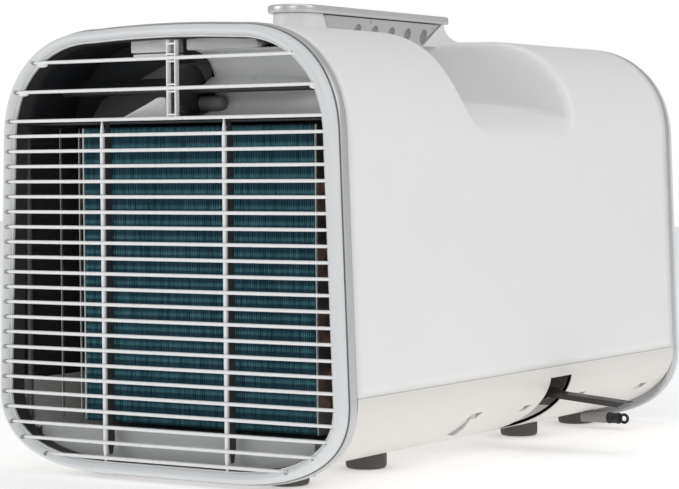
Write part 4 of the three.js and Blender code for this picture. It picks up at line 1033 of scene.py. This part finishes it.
def lining():
    """The arch carried back from the grille, shut by a level floor and an upright rear wall."""
    x, z = arch(6.5, DUCT_FLOOR + 1)
    y = np.linspace(DUCT_FRONT + 0.5, DUCT_BACK - 1, 6)
    walls = np.stack(np.broadcast_arrays(x[:, None], y[None], z[:, None]), -1)
    share = np.linspace(0, 1, 8)
    fall = z[:, None] * (1 - share) + (DUCT_FLOOR + 1) * share
    rear = np.stack(np.broadcast_arrays(x[:, None], DUCT_BACK - 1, fall), -1)
    floor = np.stack(np.broadcast_arrays(np.linspace(x[0], x[-1], 12)[:, None], y[None], DUCT_FLOOR + 1), -1)
    return [(sheet, False, False) for sheet in (walls, rear, floor)]


duct = lay("outlet_lining", lining(), painted_shade_black, stands_for=["outlet_duct"], centre=(0, -230, 300))
walled(duct, 1.5)
divider_line = rounded([(-113, 270.5), (-102, 286), (-79, 295), (-40, 312), (-9, 312.5), (-9, 270.5)], 3)
divider = lay("outlet_divider", [slab(divider_line, "Y", -221, -218.5, 0.4)], charcoal)
block_line = rounded([(-66, 270.5), (-43, 280.5), (-29, 286.8), (-21.5, 286.5), (-20.5, 270.5)], 2.5)
ledge_line = rounded([(-46, 319.5), (-46, 330), (-9.5, 330), (-9.5, 319.5)], 1.2)
shelf_line = rounded([(-46, 316.4), (-46, 318.6), (-9.5, 318.6), (-9.5, 316.4)], 0.8)
sill_line = rounded([(-118, 270.4), (-118, 271.4), (100, 271.4), (100, 270.4)], 0.3)
ledge_slabs = [slab(block_line, "Y", -245, -222, 1.5), slab(ledge_line, "Y", -256, -238, 1.2),
               slab(shelf_line, "Y", -253, -238, 0.6), slab(sill_line, "Y", -262.5, -258.5, 0.3)]
ledges = lay("outlet_ledges", ledge_slabs, bar_white)
roof_line = rounded([(6.5, 320), (6.5, 328.5), (68, 328.5), (71.5, 324), (70.5, 320.8), (66, 320)], 2.0)
roof = lay("outlet_roof", [slab(roof_line, "Y", -257, -239, 1.5)], scoop_grey)
cheek_line = [(-10, 271), (-10, 328), (6, 328), (6, 271)]
cheek = lay("outlet_cheek", [slab(cheek_line, "Y", -224, -221, 0.4)], painted_shade_black)


SCOOP_START, SCOOP_INSET = 12, 9.5
BOWL_START, BOWL_LENGTH, BOWL_SHARE, BOWL_MOUTH = 66, 70, 0.85, -260


def scoop():
    """A sheet over x and a section: the section runs up the sill, in to a crease, and up to the roof; towards
    its outer end it comes forward by the square of the distance, so that it closes like a bowl."""
    section = np.concatenate([curve((-261, 270.6), (-236, 272), (-232, 279.5), 12),
                              curve((-231.5, 280.5), (-224, 297), (-233, 309), 14),
                              curve((-233.5, 310), (-240, 318), (-252, 319.5), 8)])
    share = np.linspace(0, 1, 40)[:, None]
    reach = side_reach(section[:, 1], SCOOP_INSET)[None]
    x = SCOOP_START + (reach - SCOOP_START) * share
    bowl = np.clip((x - BOWL_START) / BOWL_LENGTH, 0, 1) ** 2
    y = section[None, :, 0] + (BOWL_MOUTH - section[None, :, 0]) * bowl * BOWL_SHARE
    return np.stack([x, y, section[None, :, 1] + 0 * x], -1)


scoop_sheet = lay("outlet_scoop", [(scoop(), False, False)], scoop_grey, centre=(60, -500, 300))
for polygon in scoop_sheet.data.polygons:
    polygon.flip()
walled(scoop_sheet, 1.0)
nose = [(0, 6.0), (5.6, 6.0), (6.0, 6.6), (6.0, 22.0), (5.2, 25.0), (3.6, 26.6), (1.6, 27.2), (0, 27.3)]
nose_piece = lay("outlet_boss", [turned(nose, "X", (-236, 281), 28)], charcoal)


def vane(start, end, steps=14):
    """A thin curved blade: a leaf-shaped section with a quadratic middle line, carried along the shaft. It
    is short enough to pass the divider at both ends of its swing."""
    line = curve((FLAP_Y, FLAP_Z), (FLAP_Y + 10, FLAP_Z + 3.0), (FLAP_Y + 19.4, FLAP_Z + 9.8), steps)
    thick = 0.25 + 0.75 * np.sqrt(np.clip(1 - np.linspace(0, 1, steps), 0, 1))[:, None]
    leaf = np.concatenate([line + thick * (-0.45, 0.9), (line - thick * (-0.45, 0.9))[::-1]])
    return slab(leaf, "X", start, end, 0.3)


shaft_rings = [(0, -117.5), (2.3, -117.5), (2.6, -117), (2.6, 117), (2.3, 117.5), (0, 117.5)]
shaft = turned(shaft_rings, "X", (FLAP_Y, FLAP_Z), 24)
# The left vane takes the near-black finish as painted shade; the right one is light grey.
vanes = [lay("vane_left", [vane(-112, -9)], painted_shade_black, body="flap"),
         lay("vane_right", [vane(9, 112)], scoop_grey, body="flap"),
         lay("vane_shaft", [shaft], wheel_black, body="flap", stands_for=["outlet_flap"])]
TEETH, TOOTH_HALF, TOOTH_GAP = 30, 0.7, 0.75
turn = np.linspace(0, 2 * np.pi, 180, endpoint=False)
ridge = np.clip(np.cos(turn * TEETH) * 2.2, -1, 1) * TOOTH_HALF
wheel_rows = [(x, WHEEL_RADIUS - TOOTH_GAP - drop + ridge * share) for x, drop, share in
              ((-5, 1.2, 0.5), (-4.4, 0.3, 0.9), (-3.6, 0, 1), (3.6, 0, 1), (4.4, 0.3, 0.9), (5, 1.2, 0.5))]
wheel_points = np.stack([np.stack([np.full_like(turn, x), FLAP_Y + r * np.cos(turn), FLAP_Z + r * np.sin(turn)], -1)
                         for x, r in wheel_rows])
thumb_wheel = lay("flap_thumb_wheel", [(capped(wheel_points), False, True)], wheel_black, body="flap",
                  stands_for=["flap_wheel"], sharp=35)

# ---- cold compartment -------------------------------------------------------------------------
# Bright metal lips fold round the coil's ends beside a black rail, a light tray under it catches
# the condensate, and two round-headed screws hold the bezel from inside its lower corners.
fin_low, fin_high = span("evaporator_fins")
lip_height = (float(fin_low[2]), float(fin_high[2]))
lips = lay("coil_lips", [strip(x, half, y, y + 2.4, *lip_height) for x, half, y in
                         ((-100.6, 0.6, -252), (-121.0, 0.5, -250), (116.9, 0.7, -252.2))], plate_metal)
rail = lay("side_rail", [strip(-144.0, 1.6, -262.5, -258, 30, 262)], charcoal)
tray_grey = moulding("tray_grey", (0.50, 0.51, 0.515), roughness=0.4, tint=0.06)
apron_line = rounded([(-128, 12.5), (-128, 39), (124, 39), (124, 12.5)], 2)
apron = lay("tray_apron", [slab(apron_line, "Y", -266.4, -264.2, 0.5)], tray_grey)
for node in ("bezel_screw_1", "bezel_screw_2"):
    low, high = span(node)
    middle = (low + high) / 2
    head = [(0, high[1]), (1.9, high[1]), (1.9, low[1] + 3.0), (3.6, low[1] + 3.0), (3.6, low[1] + 1.4),
            (3.0, low[1] + 0.5), (2.0, low[1] + 0.1), (1.7, low[1]), (1.5, low[1] + 1.4), (0, low[1] + 1.4)]
    screw = lay(f"{node}_head", [turned(head, "Y", (middle[0], middle[2]), 32)], plate_metal,
                stands_for=[node], sharp=35)

# ---- the rest of the inside -------------------------------------------------------------------
# Blower, compressor, fans, plates and pipes, behind the coil and out of sight. They keep their
# own shape, with eased edges. The smoked pane over the lid's control board closes the panel.
green_board = moulding("green_board", (0.01, 0.09, 0.035), roughness=0.35, tint=0.2)
black_metal = moulding("black_metal", (0.02, 0.02, 0.022), roughness=0.32, tint=0.3, coat=0.3)


def dress(nodes, material, edge):
    """Gives CAD pieces their finish and softens their edges."""
    for node in nodes:
        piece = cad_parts[node]
        piece.data.materials.clear()
        piece.data.materials.append(material)
        piece.modifiers.new("weld", "WELD").merge_threshold = 1e-6
        ease(piece, edge, 2)


dress(["drip_tray"], tray_grey, 1.0)
dress(["evaporator_plate_left", "evaporator_plate_right", "chassis_plate", "bulkhead"], plate_metal, 0.2)
dress(["blower_scroll", "fan_shroud", "control_box", "power_inlet"], lever_black, 0.3)
dress(["blower_wheel", "condenser_fan"], charcoal, 0.1)
dress(["blower_motor", "fan_motor"], steel, 0.5)
dress(["compressor"], black_metal, 1.0)
dress(["compressor_grommet_1", "compressor_grommet_2", "compressor_grommet_3"], cap_rubber, 0.3)
dress(["suction_pipe", "discharge_pipe", "filter_drier", "capillary_tube"], copper_tube, 0.1)
dress(["control_board"], green_board, 0.1)
pane_line = rounded(plan_corners(window_low, window_high), 2.0)
pane = lay("display_pane", [slab(pane_line, "Z", float(window_low[2]), float(window_high[2]), 0.4)], smoked,
           stands_for=["display_window"])

# ---- studio -----------------------------------------------------------------------------------
# A pale floor under the feet, an even white surround, four large soft lamps, and a camera with a
# long lens that looks at the grille and the right side from just above the unit's middle.
CAMERA_PLACE = (1.0288, -1.6319, 0.2353)
CAMERA_RIGHT, CAMERA_UP, CAMERA_BACK = (0.84, 0.5425, -0.0079), (-0.0123, 0.0336, 0.9994), (0.5425, -0.8394, 0.0349)
camera_data = bpy.data.cameras.new("camera")
camera_data.lens, camera_data.sensor_width = 122.4, 36.0
camera = bpy.data.objects.new("camera", camera_data)
bpy.context.scene.collection.objects.link(camera)
axes = Matrix([CAMERA_RIGHT, CAMERA_UP, CAMERA_BACK]).transposed().to_4x4()
camera.matrix_world = Matrix.Translation(CAMERA_PLACE) @ axes
bpy.context.scene.camera = camera
bpy.context.scene.view_settings.view_transform = "Standard"

floor_finish = moulding("studio_floor", (0.9, 0.9, 0.9), roughness=0.8, tint=0.01, grain=0.0001)
floor_shader = floor_finish.node_tree.nodes["Principled BSDF"]
floor_shader.inputs["Emission Color"].default_value = (1.0, 1.0, 1.0, 1.0)
floor_shader.inputs["Emission Strength"].default_value = 0.35
across = np.linspace(-6000, 6000, 3)
floor_points = np.stack(np.broadcast_arrays(across[:, None], across[None], -0.3), -1)
floor = lay("studio_floor", [(floor_points, False, False)], floor_finish, body=None, centre=(0, 0, -50))

world = bpy.data.worlds.new("studio")
world.use_nodes = True
bpy.context.scene.world = world
sky = world.node_tree
seen = sky.nodes.new("ShaderNodeLightPath")
share = sky.nodes.new("ShaderNodeMix")
share.data_type = "FLOAT"
LIGHT_GIVEN, LIGHT_SEEN = 0.44, 1.0
share.inputs[2].default_value, share.inputs[3].default_value = LIGHT_GIVEN, LIGHT_SEEN
sky.links.new(seen.outputs["Is Camera Ray"], share.inputs[0])
sky.links.new(share.outputs[0], sky.nodes["Background"].inputs["Strength"])
sky.nodes["Background"].inputs["Color"].default_value = (1.0, 1.0, 1.0, 1.0)

LIGHTS = [("key", (1.9, 0.5, 1.5), (0.0, 0.1, 0.2), 1.6, 9.0),
          ("front", (1.1, -2.3, 1.1), (0.0, -0.2, 0.18), 1.2, 6.5),
          ("fill", (-1.5, -1.6, 0.9), (0.0, -0.2, 0.2), 1.2, 8.0),
          ("overhead", (0.1, 0.2, 2.4), (0.0, 0.0, 0.3), 1.8, 9.0)]
for name, place, target, size, power in LIGHTS:
    light = bpy.data.lights.new(name, "AREA")
    light.shape, light.size, light.energy = "DISK", size, power
    lamp = bpy.data.objects.new(name, light)
    bpy.context.scene.collection.objects.link(lamp)
    back = (Vector(place) - Vector(target)).normalized()
    lamp.matrix_world = Matrix.Translation(place) @ back.to_track_quat("Z", "Y").to_matrix().to_4x4()
